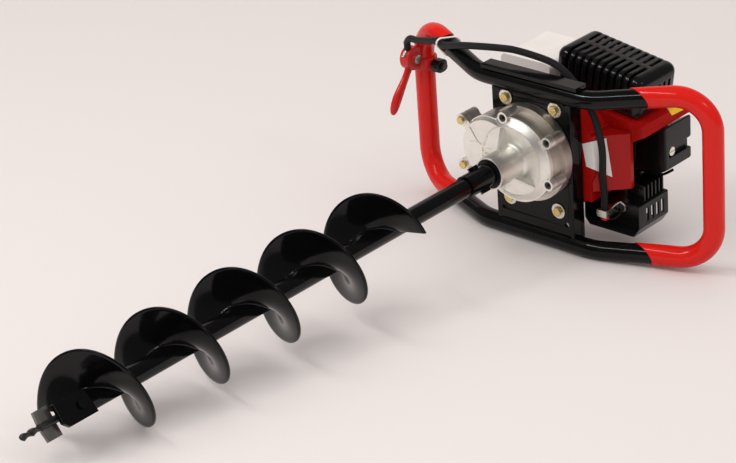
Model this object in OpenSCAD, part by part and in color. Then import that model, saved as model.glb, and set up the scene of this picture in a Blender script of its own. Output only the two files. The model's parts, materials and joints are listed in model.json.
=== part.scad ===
// Earth auger: a petrol engine and a reduction gearbox on a two-handled frame turn a helical drill.
// Every piece is drawn along the drill's own axis, from the point at the origin to the engine,
// with x to the right handle and y to the side that lies on the floor. lay() then lays it down.

/* [Drill] */
// Length of the drill from its point to the end of its socket
drill_len = 798; // [760:1:1000]
// Diameter of the helical flight
flight_d = 120; // [90:1:140]
// Rise of the flight in one turn
flight_pitch = 118; // [100:1:130]
// Number of turns of the flight
flight_turns = 4.5254; // [2.5:0.0001:4.75]
// Thickness of the flight's sheet
flight_sheet = 4; // [3:0.5:6]
// Height of the flight's first edge above the point
flight_start = 74; // [72:1:84]
// Outer diameter of the drill pipe
pipe_d = 25; // [22:0.5:28]
// Wall of the drill pipe
pipe_wall = 3; // [2:0.25:4]
// Height of the pipe's lower end above the point
pipe_start = 66; // [60:1:72]
// Outer diameter of the socket collar
socket_d = 30; // [28:0.5:34]
// Length of the socket collar
socket_len = 46; // [40:1:60]
// Depth of the output shaft in the socket
socket_depth = 36; // [30:1:38]
// Diameter of the pilot point
point_d = 9; // [7:0.5:12]
// Length of the pilot point's cone
point_cone = 10; // [6:1:16]
// Length of the pilot point's plug in the pipe
plug_len = 26; // [22:1:34]
// Span of the fishtail wings
wing_span = 37; // [34:1:52]
// Thickness of the fishtail wings
wing_t = 5; // [4:0.5:7]
// Height of the fishtail wings above the point
wing_start = 27; // [26:1:34]
// Width of the flat blade holder
holder_w = 31; // [28:1:34]
// Thickness of the flat blade holder
holder_t = 6; // [5:0.5:8]
// Diameter of the holder bolt
holder_bolt_d = 6; // [5:0.5:7]
// Diameter of the socket's cross bolt
cross_bolt_d = 8; // [6:0.5:9]

/* [Frame] */
// Half distance between the two handles' centrelines
handle_x = 238; // [220:1:260]
// Half length of the straight middle of the loop
loop_mid_x = 90; // [84:1:100]
// Rise of the handles over the middle of the loop
handle_rise = 60; // [50:1:70]
// Height of the loop's middle over the upper plate bolts
loop_over = 21.3; // [21.1:0.1:26]
// Depth of the loop's middle under the drill's axis
loop_bottom = 124; // [118:1:130]
// Rise of the handles' upper corners over the loop's middle
handle_lift = 22; // [17:1:29]
// Depth of the handles' lower corners under the drill's axis
handle_bottom = 122; // [116:1:128]
// Outer diameter of the frame tube
tube_d = 25.4; // [24:0.2:27]
// Wall of the frame tube
tube_wall = 2; // [1.5:0.25:3]
// Bend radius of the handles' corners
corner_r = 46; // [40:1:50]
// Bend radius at the ends of the loop's middle
mid_bend_r = 80; // [60:1:100]
// Thickness of the red grip sleeves
grip_t = 1.3; // [1:0.1:2]
// Distance of the right sleeve's ends from the middle bend
grip_start_right = 64; // [56:1:80]
// Distance of the left sleeve's ends from the middle bend
grip_start_left = 98; // [92:1:104]
// Width of the mounting plate
plate_w = 128; // [124:1:136]
// Thickness of the mounting plate
plate_t = 5; // [4:0.5:6]
// Depth of the mounting plate's side flanges
plate_flange = 23; // [18:1:24]
// Half distance between the plate bolts across
plate_bolt_x = 40; // [38:1:42]
// Clearance between the gearbox case and the washers of the upper plate bolts
washer_gap = 8.4; // [8:0.1:12]
// Depth of the lower plate bolts under the drill's axis
plate_bolt_bottom = 78; // [77:1:82]
// Diameter of the plate bolts
plate_bolt_d = 7; // [6:0.5:8.5]
// Distance of the accessory holes from the plate's side edges
accessory_edge = 12; // [10:0.5:14]
// Depth of the accessory holes under the drill's axis
accessory_y = 96; // [94:1:100]
// Diameter of the accessory holes
accessory_d = 7; // [5:0.5:8]
// Thickness of the flat bar on the upper tube
bar_t = 5; // [4:0.5:6]
// Length of the flat bar on the upper tube
bar_len = 156; // [120:1:164]

/* [Gearbox] */
// Diameter of the gearbox hub
hub_d = 45; // [44:0.5:50]
// Length of the gearbox hub
hub_len = 46; // [44:1:48]
// Diameter of the cover's front rim
disc_d = 98; // [92:1:104]
// Height of the cover's sloping shoulder
disc_t = 8; // [7:0.5:9]
// Thickness of the cover's flange
base_t = 4; // [3.5:0.5:5]
// Thickness of the cover's front face
face_t = 5; // [5:0.5:6]
// Radius of the gearbox case
case_r = 58; // [56:0.5:60]
// Wall of the case
case_wall = 4; // [3:0.5:5]
// Length of the case between the cover and its rear wall
case_len = 24; // [24:0.5:28]
// Thickness of the case's rear wall
rear_t = 8; // [8:0.5:10]
// Height of the ribs at the hub
rib_h = 18; // [10:1:24]
// Radius of the screw bosses
boss_r = 8; // [7.5:0.5:9]
// Diameter of the cover screws
cover_screw_d = 6; // [5:0.5:6]
// Radius of the output shaft
shaft_r = 10; // [9:0.25:11]
// Teeth of both pinions
pinion_teeth = 12; // [12:1:13]
// Teeth of both large gears
gear_teeth = 48; // [46:1:48]
// Room between the idler gear and the case's wall
gear_room = 2.55; // [2:0.05:4]
// Module of the input pair as a share of the output pair's
input_share = 0.8696; // [0.84:0.0001:0.88]

/* [Engine] */
// Place of the crankshaft to the right of the drill's axis
crank_x = 15; // [14:0.5:16]
// Depth of the crankshaft under the drill's axis
crank_y = 8; // [7:0.5:9]
// Lean of the cylinder to the right
engine_roll = 9; // [8:0.5:10]
// Radius of the clutch drum
drum_r = 38; // [36:0.5:39]
// Radius of the fan housing
housing_r = 68; // [66:0.5:69]
// Wall of the fan housing
housing_wall = 4; // [3:0.5:5]
// Length of the fan housing's round body
housing_len = 62; // [60:1:66]
// Radius of the crankcase
crankcase_r = 40; // [38:0.5:41]
// Length of the crankcase
crankcase_len = 65; // [64:1:68]
// Radius of the starter housing
starter_r = 64; // [60:1:66]
// Length of the starter housing
starter_len = 38; // [36:1:44]
// Bore radius of the cylinder
bore_r = 22; // [20:0.5:22.5]
// Travel of the piston each way
half_stroke = 14; // [10:0.5:14]
// Length of the cylinder cover along the crankshaft
cover_z = 83; // [80:1:86]
// Clearance between the plug boot and the cylinder cover
boot_gap = 3; // [1:0.5:8]
// Wall of the cylinder cover
cover_wall = 2.5; // [2:0.25:3]
// Width of the cooling slots
slot_w = 5; // [3:0.5:6]
// Pitch of the cooling slots
slot_pitch = 11; // [9:0.5:14]
// Length of the air filter along the crankshaft
filter_z = 56; // [54:1:58]
// Wall of the fuel tank
tank_wall = 2.5; // [2:0.25:3]

/* [Controls] */
// Distance of the lever's pivot from the handle's centreline
lever_offset = 26; // [26:0.5:28]
// Length of the throttle lever
lever_len = 78; // [60:1:84]
// Thickness of the throttle lever
lever_t = 8; // [6:0.5:9]
// Diameter of the cable conduit
conduit_d = 9.5; // [8:0.5:10]

/* [Hidden] */
$fn = 64;

// Clearances
run_fit = 0.03;
seat_fit = 0.05;
bolt_fit = 0.2;
free_gap = 0.5;
cut = 1;

// Places along the drill's axis
hub_gap = 2;
hub_z = drill_len + hub_gap;
disc_z = hub_z + hub_len;
base_z = disc_z + disc_t;
case_z = base_z + base_t;
rear_z = case_z + case_len;
plate_z = rear_z + rear_t;
back_z = plate_z + plate_t;
lug_t = 8;
body_z = back_z + lug_t;
crank_z = body_z + housing_len;
flange_z = crank_z + crankcase_len;
flange_t = 6;
starter_z = flange_z + flange_t;
end_z = starter_z + starter_len;
tube_set = 7;
tube_z = plate_z + tube_set;
cyl_z = crank_z + crankcase_len / 2;

// Radii
flight_r = flight_d / 2;
pipe_r = pipe_d / 2;
socket_r = socket_d / 2;
point_r = point_d / 2;
tube_r = tube_d / 2;
grip_fit = 0.1;
grip_in = tube_r + grip_fit;
grip_r = grip_in + grip_t;
hub_r = hub_d / 2;
disc_r = disc_d / 2;
conduit_r = conduit_d / 2;
washer_r = 10.5;
collar_in = drum_r + 1.5;
collar_r = collar_in + housing_wall;

// Heights of the loop over the drill's axis: the upper plate bolts clear the case, and the loop clears them
plate_bolt_top = sqrt(pow(case_r + washer_r + washer_gap, 2) - plate_bolt_x * plate_bolt_x);
loop_top = plate_bolt_top + loop_over;
handle_top = loop_top + handle_lift;
accessory_x = plate_w / 2 - accessory_edge;

// Lay of the machine: the lowest edge of the flight's first turn and the lower tube touch the floor
flight_phase = 160.8475;
first_low = 450;
rest_z = flight_start + flight_pitch * (first_low - flight_phase) / 360;
rest_run = tube_z - rest_z;
lay_tilt = atan(loop_bottom / rest_run)
  - asin((flight_r - tube_r) / sqrt(rest_run * rest_run + loop_bottom * loop_bottom));
lay_lift = tube_r + loop_bottom * cos(lay_tilt) - tube_z * sin(lay_tilt);
lay_back = (crank_y + starter_r) * sin(lay_tilt) + end_z * cos(lay_tilt);
clamp_wall = 4;
lay_side = (clamp_wall + seat_fit) / 2;

module lay() {
  translate([lay_side, -lay_back / 2, lay_lift]) rotate([lay_tilt - 90, 0, 0]) children();
}

// Engine frame: origin on the crankshaft, -y along the cylinder
module rolled() {
  translate([crank_x, crank_y, 0]) rotate([0, 0, engine_roll]) children();
}

// Placing along a line
function unit(v) = v / norm(v);

module along(a, b) {
  d = b - a;
  translate(a) rotate([0, acos(d[2] / norm(d)), atan2(d[1], d[0])]) children();
}

function inside_angle(a, b, c) = acos(unit(a - b) * unit(c - b));

// Stations of a bent tube, each a place and its heading
function bend(a, b, c, r, steps) =
  let (
    u = unit(a - b),
    v = unit(c - b),
    half = inside_angle(a, b, c) / 2,
    m = b + unit(u + v) * r / sin(half),
    ex = unit(b + u * r / tan(half) - m),
    ey = -u
  ) [
    for (k = [0 : steps])
      let (t = (180 - 2 * half) * k / steps)
      [m + (ex * cos(t) + ey * sin(t)) * r, ey * cos(t) - ex * sin(t)]
  ];

function ring_points(c, t, r, n) =
  let (e = unit(cross(t, [0, 0, 1])), f = cross(t, e))
  [for (k = [0 : n - 1]) c + e * r * cos(360 * k / n) + f * r * sin(360 * k / n)];

// A tube through rings of points outside and inside
module pipe(outer, inner) {
  n = len(outer[0]);
  m = len(outer);
  skin = n * m;
  points = concat([for (q = outer) each q], [for (q = inner) each q]);
  faces = [
    for (i = [0 : m - 2], k = [0 : n - 1])
      let (a = i * n + k, b = i * n + (k + 1) % n)
      each [
        [a, b, a + n], [b, b + n, a + n],
        [skin + b, skin + a, skin + a + n], [skin + b, skin + a + n, skin + b + n]
      ]
  ];
  rims = [
    for (k = [0 : n - 1], i = [0, m - 1])
      let (a = i * n + k, b = i * n + (k + 1) % n)
      each i == 0 ? [[b, a, skin + a], [b, skin + a, skin + b]] : [[a, b, skin + a], [b, skin + b, skin + a]]
  ];
  polyhedron(points, concat(faces, rims));
}

// Flat shapes
module rounded_rect(x0, y0, x1, y1, r) {
  translate([x0 + r, y0]) square([x1 - x0 - 2 * r, y1 - y0]);
  translate([x0, y0 + r]) square([x1 - x0, y1 - y0 - 2 * r]);
  for (x = [x0 + r, x1 - r], y = [y0 + r, y1 - r]) translate([x, y]) circle(r = r);
}

module block(x0, x1, y0, y1, z0, z1) {
  translate([x0, y0, z0]) cube([x1 - x0, y1 - y0, z1 - z0]);
}

module ring(ro, ri, h) {
  difference() {
    cylinder(r = ro, h = h);
    translate([0, 0, -cut]) cylinder(r = ri, h = h + 2 * cut);
  }
}

// A convex outline, listed against the clock as seen from +z, moved inwards by w
function edge_normal(p, i) = let (d = unit(p[(i + 1) % len(p)] - p[i])) [-d[1], d[0]];
function inset(p, w) = [
  for (i = [0 : len(p) - 1])
    let (n = edge_normal(p, (i + len(p) - 1) % len(p)), m = edge_normal(p, i))
    p[i] + (n + m) * w / (1 + n * m)
];

// Involute spur gears
pressure = 25;
tooth_slack = 0.14;
flank_steps = 4;
function involute(a) = tan(a) * 180 / PI - a;
function polar(r, a) = [r * cos(a), r * sin(a)];
addendum = 0.95;
dedendum = 1.2;
function gear_tip(n, m) = m * (n / 2 + addendum);
function gear_root(n, m) = m * (n / 2 - dedendum);
function gear_base(n, m) = m * n / 2 * cos(pressure);
function flank_angle(n, m, r) =
  90 / n - tooth_slack * 90 / (PI * m * n / 2) + involute(pressure) - involute(acos(gear_base(n, m) / r));
function gear_points(n, m) =
  let (
    low = max(gear_base(n, m), gear_root(n, m)) + 0.001,
    radii = [for (s = [0 : flank_steps]) low + (gear_tip(n, m) - low) * s / flank_steps]
  ) [
    for (k = [0 : n - 1])
      each concat(
        [polar(gear_root(n, m), 360 * k / n - flank_angle(n, m, low))],
        [for (s = [0 : flank_steps]) polar(radii[s], 360 * k / n - flank_angle(n, m, radii[s]))],
        [for (s = [0 : flank_steps])
          polar(radii[flank_steps - s], 360 * k / n + flank_angle(n, m, radii[flank_steps - s]))],
        [polar(gear_root(n, m), 360 * k / n + flank_angle(n, m, low))]
      )
  ];

// Gear train: the modules fill the case, and the idler stands where both pairs mesh
output_module = (case_r - case_wall - gear_room)
  / ((pinion_teeth + gear_teeth) / 2 + (gear_teeth / 2 + addendum) * input_share);
input_module = output_module * input_share;
output_gap = output_module * (pinion_teeth + gear_teeth) / 2;
input_gap = input_module * (pinion_teeth + gear_teeth) / 2;
crank_off = norm([crank_x, crank_y]);
idler_run = (output_gap * output_gap - input_gap * input_gap + crank_off * crank_off) / (2 * crank_off);
idler_side = sqrt(output_gap * output_gap - idler_run * idler_run);
idler_x = (crank_x * idler_run + crank_y * idler_side) / crank_off;
idler_y = (crank_y * idler_run - crank_x * idler_side) / crank_off;
output_mesh = atan2(idler_y, idler_x);
input_mesh = atan2(crank_y - idler_y, crank_x - idler_x);
gear_t = 10;
input_t = 8;
gear_gap = 2;
output_gear_z = disc_z + face_t + gear_gap;
input_gear_z = output_gear_z + gear_t + gear_gap + 1;
bearing_r = 20;
small_bearing_r = 8;
idler_r = 4;
drum_shaft_r = 6;
drum_bearing_r = 13;
bearing_t = 12;
seal_t = 8;

// Holders and bolts of the drill
tip_turn = -36;
holder_top = pipe_start + 28;
holder_short = pipe_start + 25;
holder_foot = pipe_start - 20;
holder_bolt_z = pipe_start + 12;
holder_face = pipe_r + seat_fit + holder_t;
plug_r = pipe_r - pipe_wall - seat_fit;
cross_z = drill_len - socket_depth / 2;
cross_flat = socket_r - 1.2;
cross_turn = tip_turn + 90;
head_ratio = 0.92;
head_h_ratio = 0.6;

module hex_head(d, h) {
  cylinder(r = d * head_ratio, h = h, $fn = 6);
}

// Drill

module drill_pipe() {
  color("#17171a") lay() difference() {
    translate([0, 0, pipe_start]) ring(pipe_r, pipe_r - pipe_wall, drill_len - socket_len - pipe_start);
    translate([0, 0, holder_bolt_z]) rotate([0, 90, tip_turn])
      cylinder(d = holder_bolt_d + bolt_fit, h = pipe_d);
  }
}

module drill_socket() {
  color("#17171a") lay() difference() {
    translate([0, 0, drill_len - socket_len]) cylinder(r = socket_r, h = socket_len);
    translate([0, 0, drill_len - socket_depth - free_gap])
      cylinder(r = shaft_r + seat_fit, h = socket_depth + free_gap + cut);
    translate([0, 0, cross_z]) rotate([0, 90, cross_turn]) {
      translate([0, 0, -socket_d]) cylinder(d = cross_bolt_d + bolt_fit, h = 2 * socket_d);
      for (s = [0, 180]) rotate([s, 0, 0]) translate([0, 0, cross_flat])
        cylinder(r = cross_bolt_d * head_ratio + bolt_fit, h = socket_r);
    }
  }
}

flight_step = 10;
flight_rings = round(flight_turns * 360 / flight_step);
flight_in = pipe_r / cos(flight_step / 2) + seat_fit;

function flight_point(i, r, up) =
  let (a = flight_phase + i * flight_step)
  [r * cos(a), r * sin(a), flight_start + flight_pitch * i * flight_step / 360 + up];

module flight() {
  points = [
    for (i = [0 : flight_rings])
      each [
        flight_point(i, flight_in, -flight_sheet / 2), flight_point(i, flight_r, -flight_sheet / 2),
        flight_point(i, flight_r, flight_sheet / 2), flight_point(i, flight_in, flight_sheet / 2)
      ]
  ];
  sides = [
    for (i = [0 : flight_rings - 1], k = [0 : 3])
      let (a = 4 * i + k, b = 4 * i + (k + 1) % 4)
      each [[a, a + 4, b], [b, a + 4, b + 4]]
  ];
  last = 4 * flight_rings;
  ends = [[0, 1, 2], [0, 2, 3], [last + 2, last + 1, last], [last + 3, last + 2, last]];
  color("#17171a") lay() polyhedron(points, concat(sides, ends));
}

module pilot_point() {
  tip_r = 1;
  color("#3a3a3c") lay() difference() {
    rotate_extrude() polygon([
      [0, 0], [tip_r, 0], [point_r, point_cone], [point_r, pipe_start],
      [plug_r, pipe_start], [plug_r, pipe_start + plug_len], [0, pipe_start + plug_len]
    ]);
    translate([0, 0, holder_bolt_z]) rotate([0, 90, tip_turn]) translate([0, 0, -pipe_r])
      cylinder(d = holder_bolt_d + 2 * seat_fit, h = pipe_d);
  }
}

module fishtail_wings() {
  wing_h = 22;
  sweep = 2;
  half = wing_span / 2;
  color("#b9b5ae") lay() rotate([0, 0, tip_turn]) difference() {
    translate([-wing_t / 2, 0, 0]) rotate([90, 0, 90]) linear_extrude(wing_t) polygon([
      [-half, wing_start + sweep], [0, wing_start], [half, wing_start + sweep],
      [half, wing_start + wing_h], [-half, wing_start + wing_h]
    ]);
    cylinder(r = point_r + seat_fit, h = pipe_start);
  }
}

module blade_holder() {
  half = holder_w / 2;
  corner = 7;
  color("#2a2a2c") lay() rotate([0, 0, tip_turn]) difference() {
    translate([holder_face - holder_t, 0, 0]) rotate([90, 0, 90]) linear_extrude(holder_t) polygon([
      [-half, holder_foot], [half - corner, holder_foot], [half, holder_foot + corner], [half, holder_top],
      [-half, holder_short]
    ]);
    translate([0, 0, holder_bolt_z]) rotate([0, 90, 0]) cylinder(d = holder_bolt_d + bolt_fit, h = pipe_d);
  }
}

module holder_bolt() {
  color("#c9b14a") lay() translate([0, 0, holder_bolt_z]) rotate([0, 90, tip_turn]) {
    translate([0, 0, -plug_r + cut]) cylinder(d = holder_bolt_d, h = holder_face + plug_r - cut);
    translate([0, 0, holder_face]) hex_head(holder_bolt_d, holder_bolt_d * head_h_ratio);
  }
}

module cross_bolt() {
  color("#c8c4b8") lay() translate([0, 0, cross_z]) rotate([0, 90, cross_turn]) {
    translate([0, 0, -cross_flat]) cylinder(d = cross_bolt_d, h = 2 * cross_flat);
    for (s = [0, 180]) rotate([s, 0, 0]) translate([0, 0, cross_flat])
      hex_head(cross_bolt_d, cross_bolt_d * head_h_ratio);
  }
}

module output_shaft() {
  color("#8d8f92") lay() difference() {
    translate([0, 0, drill_len - socket_depth])
      cylinder(r = shaft_r, h = output_gear_z + gear_t + 2 - drill_len + socket_depth);
    translate([0, 0, cross_z]) rotate([0, 90, cross_turn]) translate([0, 0, -socket_r])
      cylinder(d = cross_bolt_d + bolt_fit, h = socket_d);
  }
}

module output_gear() {
  color("#8d8f92") lay() translate([0, 0, output_gear_z]) difference() {
    rotate([0, 0, output_mesh]) linear_extrude(gear_t) polygon(gear_points(gear_teeth, output_module));
    translate([0, 0, -cut]) cylinder(r = shaft_r + seat_fit / 2, h = gear_t + 2 * cut);
  }
}

// Gearbox

boss_lead = 6;
ear_short = 7;
lobe_r = 0.776 * case_r;
lobe = [-0.655 * case_r, -0.1 * case_r];
ear_right = case_r - 1;
ear_left = lobe[0] - lobe_r;
ear_rise = 0.71 * lobe_r;
cap_places = [[ear_right, -0.66 * case_r], [ear_right, 0.36 * case_r], [-0.23 * case_r, 1 - case_r]];
bolt_places = [[ear_left, lobe[1] - ear_rise], [ear_left, lobe[1] + ear_rise]];
screw_places = concat(cap_places, bolt_places);
cap_head_r = cover_screw_d * 0.85;
cap_head_h = cover_screw_d * 0.7;
cap_sunk = 2;
thread_len = 15;
idler_boss = 2;
drum_boss = 5;
pocket = 6;

// Plan of the case: a drum round the output shaft with a lobe at its left
module case_plan(grow) {
  circle(r = case_r + grow);
  translate(lobe) circle(r = lobe_r + grow);
}

// A web from the case's wall to each screw that stands outside it
web_half = boss_r * 0.8;
web_step = 1;

module webs(z, h) {
  for (p = screw_places) {
    from = p[0] < -case_r ? lobe : [0, 0];
    start = (p[0] < -case_r ? lobe_r : case_r) - case_wall / 2;
    d = p - from;
    translate([from[0], from[1], z]) rotate([0, 0, atan2(d[1], d[0])])
      translate([start, -web_half, 0]) cube([norm(d) - start, 2 * web_half, h]);
  }
}

module bosses(z, h) {
  for (p = screw_places) translate([p[0], p[1], z]) cylinder(r = boss_r, h = h);
}

module gearbox_cover() {
  ribs = 5;
  rib_t = 4;
  rib_turn = -34;
  rib_out = disc_r - 2;
  slope = 3;
  lip = 1;
  shaft_hole_r = shaft_r + 4;
  cavity_r = disc_r - face_t;
  color("#b8b6b0") lay() difference() {
    union() {
      translate([0, 0, hub_z]) cylinder(r = hub_r, h = case_z - hub_z);
      translate([0, 0, disc_z]) cylinder(r1 = disc_r, r2 = case_r, h = disc_t);
      translate([lobe[0], lobe[1], disc_z]) cylinder(r1 = lobe_r - slope, r2 = lobe_r, h = disc_t);
      translate([0, 0, base_z - lip]) linear_extrude(base_t + lip) case_plan(lip);
      webs(base_z - boss_lead + web_step, boss_lead + base_t - 2 * web_step);
      bosses(base_z - boss_lead, boss_lead + base_t);
      for (i = [0 : ribs - 1]) rotate([90, 0, i * 360 / ribs + rib_turn]) translate([0, 0, -rib_t / 2])
        linear_extrude(rib_t) polygon([
          [hub_r - cut, disc_z + cut], [hub_r - cut, disc_z - rib_h], [hub_r, disc_z - rib_h],
          [rib_out, disc_z - lip], [rib_out, disc_z + cut]
        ]);
    }
    translate([0, 0, hub_z - cut]) cylinder(r = shaft_hole_r, h = case_z - hub_z + 2 * cut);
    translate([0, 0, hub_z - cut]) cylinder(r = bearing_r, h = seal_t + bearing_t + cut);
    translate([0, 0, disc_z + face_t - bearing_t]) cylinder(r = bearing_r, h = bearing_t + cut);
    difference() {
      translate([0, 0, disc_z + face_t]) cylinder(r = cavity_r, h = case_z);
      translate([idler_x, idler_y, disc_z]) cylinder(r = small_bearing_r + 3, h = face_t + idler_boss);
    }
    translate([idler_x, idler_y, idler_front]) cylinder(r = small_bearing_r, h = face_t + idler_boss);
    for (p = screw_places) translate([p[0], p[1], disc_z - cut])
      cylinder(d = cover_screw_d + bolt_fit, h = case_z - disc_z + 2 * cut);
    for (p = cap_places) translate([p[0], p[1], disc_z - cut])
      cylinder(r = cap_head_r + bolt_fit, h = base_z - boss_lead + cap_head_h + cap_sunk - disc_z + cut);
  }
}

module gearbox_case() {
  flange_r = case_r + washer_gap - 0.5;
  color("#a9a7a2") lay() difference() {
    union() {
      difference() {
        translate([0, 0, case_z]) linear_extrude(case_len + rear_t - seat_fit) case_plan(0);
        translate([0, 0, case_z - cut]) linear_extrude(case_len + cut) case_plan(-case_wall);
      }
      translate([0, 0, rear_z - ear_short]) ring(flange_r, case_r - web_step, ear_short + rear_t - web_step);
      webs(case_z + web_step, case_len - ear_short + web_step / 2);
      bosses(case_z, case_len - ear_short + 2 * web_step);
      translate([crank_x, crank_y, rear_z - drum_boss]) cylinder(r = drum_bearing_r + 3, h = drum_boss + cut);
    }
    for (p = screw_places) translate([p[0], p[1], case_z - cut])
      cylinder(d = cover_screw_d + 2 * seat_fit, h = thread_len + cut);
    translate([crank_x, crank_y, rear_z - drum_boss - cut])
      cylinder(r = drum_bearing_r, h = drum_boss + cut + pocket);
    translate([crank_x, crank_y, rear_z]) cylinder(r = drum_shaft_r + 2, h = rear_t + cut);
    translate([idler_x, idler_y, rear_z - cut]) cylinder(r = small_bearing_r, h = cut + pocket);
  }
}

module hub_seal() {
  color("#101010") lay() translate([0, 0, hub_z]) ring(bearing_r - seat_fit, shaft_r + run_fit, seal_t);
}

idler_front = disc_z + 1.5;
idler_back = rear_z + pocket;
drum_ring = 5;
crank_ring = 9;
crank_bearing_r = 17;
crank_r = 8.5;
crank_wall = 11;

// All rolling bearings: two each for the output shaft, the idler, the clutch drum and the crankshaft
module bearings() {
  ring_t = 5;
  color("#9fa2a6") lay() {
    for (z = [hub_z + seal_t, disc_z + face_t - bearing_t])
      translate([0, 0, z]) ring(bearing_r - seat_fit, shaft_r + run_fit, bearing_t);
    for (z = [idler_front, idler_back - ring_t])
      translate([idler_x, idler_y, z]) ring(small_bearing_r - seat_fit, idler_r + run_fit, ring_t);
    for (z = [rear_z - drum_boss, rear_z + pocket - drum_ring])
      translate([crank_x, crank_y, z]) ring(drum_bearing_r - seat_fit, drum_shaft_r + run_fit, drum_ring);
    for (z = [crank_z + crank_wall - crank_ring, flange_z - crank_wall])
      translate([crank_x, crank_y, z]) ring(crank_bearing_r - seat_fit, crank_r + run_fit, crank_ring);
  }
}

module idler_shaft() {
  color("#8d8f92") lay() translate([idler_x, idler_y, 0]) {
    translate([0, 0, idler_front]) cylinder(r = idler_r, h = idler_back - idler_front - seat_fit);
    translate([0, 0, output_gear_z]) rotate([0, 0, output_mesh + 180 + 180 / pinion_teeth]) linear_extrude(gear_t)
      polygon(gear_points(pinion_teeth, output_module));
  }
}

module idler_gear() {
  color("#8d8f92") lay() translate([idler_x, idler_y, input_gear_z]) difference() {
    rotate([0, 0, input_mesh]) linear_extrude(input_t) polygon(gear_points(gear_teeth, input_module));
    translate([0, 0, -cut]) cylinder(r = idler_r + seat_fit / 2, h = input_t + 2 * cut);
  }
}

drum_z = back_z + 4;
drum_disc = 3;
drum_len = 22;
drum_wall = 2.5;

module clutch_drum() {
  color("#77797c") lay() translate([crank_x, crank_y, 0]) {
    translate([0, 0, input_gear_z - 1]) rotate([0, 0, input_mesh + 180 + 180 / pinion_teeth])
      linear_extrude(input_t + 2) polygon(gear_points(pinion_teeth, input_module));
    translate([0, 0, input_gear_z + input_t]) cylinder(r = drum_shaft_r, h = drum_z + cut - input_gear_z - input_t);
    translate([0, 0, drum_z]) cylinder(r = drum_r, h = drum_disc);
    translate([0, 0, drum_z]) ring(drum_r, drum_r - drum_wall, drum_len);
  }
}

module cover_bolts() {
  color("#c9a640") lay() for (p = bolt_places) translate([p[0], p[1], base_z - boss_lead]) {
    cylinder(d = cover_screw_d, h = boss_lead + base_t + thread_len - 2);
    translate([0, 0, -cover_screw_d * head_h_ratio]) hex_head(cover_screw_d, cover_screw_d * head_h_ratio);
  }
}

module cover_cap_screws() {
  key_r = cover_screw_d * 0.45;
  color("#2b2b2d") lay() for (p = cap_places) translate([p[0], p[1], base_z - boss_lead + cap_sunk]) difference() {
    union() {
      cylinder(r = cap_head_r, h = cap_head_h);
      cylinder(d = cover_screw_d, h = boss_lead - cap_sunk + base_t + thread_len - 2);
    }
    translate([0, 0, -cut]) cylinder(r = key_r, h = cap_head_h / 2 + cut, $fn = 6);
  }
}

// Carrying frame

top_end = -1;
low_end = 1;
function mid_point(s, e) = [s * loop_mid_x, e == top_end ? -loop_top : loop_bottom, tube_z];
function corner_point(s, e) =
  [s * handle_x, e == top_end ? -handle_top : handle_bottom, tube_z + handle_rise];
function leg_dir(s, e) = unit(corner_point(s, e) - mid_point(s, e));

tube_sides = 20;
mid_steps = 4;
corner_steps = 8;

function mid_bend(s, e, out) =
  out ? bend(mid_point(-s, e), mid_point(s, e), corner_point(s, e), mid_bend_r, mid_steps)
  : bend(corner_point(s, e), mid_point(s, e), mid_point(-s, e), mid_bend_r, mid_steps);
function corner_bend(s, e, out) =
  out ? bend(mid_point(s, e), corner_point(s, e), corner_point(s, -e), corner_r, corner_steps)
  : bend(corner_point(s, -e), corner_point(s, e), mid_point(s, e), corner_r, corner_steps);

// The tube's two ends meet in the lower middle, behind the plate
module frame_tube() {
  slit = 0.6;
  way = concat(
    [[[slit / 2, loop_bottom, tube_z], [1, 0, 0]]],
    mid_bend(1, low_end, true), corner_bend(1, low_end, true), corner_bend(1, top_end, false),
    mid_bend(1, top_end, false), mid_bend(-1, top_end, true), corner_bend(-1, top_end, true),
    corner_bend(-1, low_end, false), mid_bend(-1, low_end, false),
    [[[-slit / 2, loop_bottom, tube_z], [1, 0, 0]]]
  );
  color("#161618") lay() pipe(
    [for (q = way) ring_points(q[0], q[1], tube_r, tube_sides)],
    [for (q = way) ring_points(q[0], q[1], tube_r - tube_wall, tube_sides)]
  );
}

// A sleeve's end is cut aslant, longer on its upper side
function slanted(c, t, r, d) = [for (p = ring_points(c, t, r, tube_sides)) p + d * (p[1] - c[1])];

function grip_rings(s, start, r) =
  let (
    f = -s,
    way = concat(corner_bend(s, -f, true), corner_bend(s, f, false)),
    d = leg_dir(s, -f),
    e = leg_dir(s, f)
  )
  concat(
    [slanted(mid_point(s, -f) + d * start, d, r, d)],
    [for (q = way) ring_points(q[0], q[1], r, tube_sides)],
    [slanted(mid_point(s, f) + e * start, -e, r, e)]
  );

module grip_left() {
  color("#c8201c") lay() pipe(grip_rings(-1, grip_start_left, grip_r), grip_rings(-1, grip_start_left, grip_in));
}

module grip_right() {
  color("#c8201c") lay() pipe(grip_rings(1, grip_start_right, grip_r), grip_rings(1, grip_start_right, grip_in));
}

plate_bolt_places = [
  for (x = [-plate_bolt_x, plate_bolt_x], y = [-plate_bolt_top, plate_bolt_bottom]) [x, y]
];
opening_r = drum_r + 4;
flange_relief = 0.4;

module loop_middle(r) {
  for (y = [-loop_top, loop_bottom]) translate([-plate_w, y, tube_z]) rotate([0, 90, 0])
    cylinder(r = r, h = 2 * plate_w);
}

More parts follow.
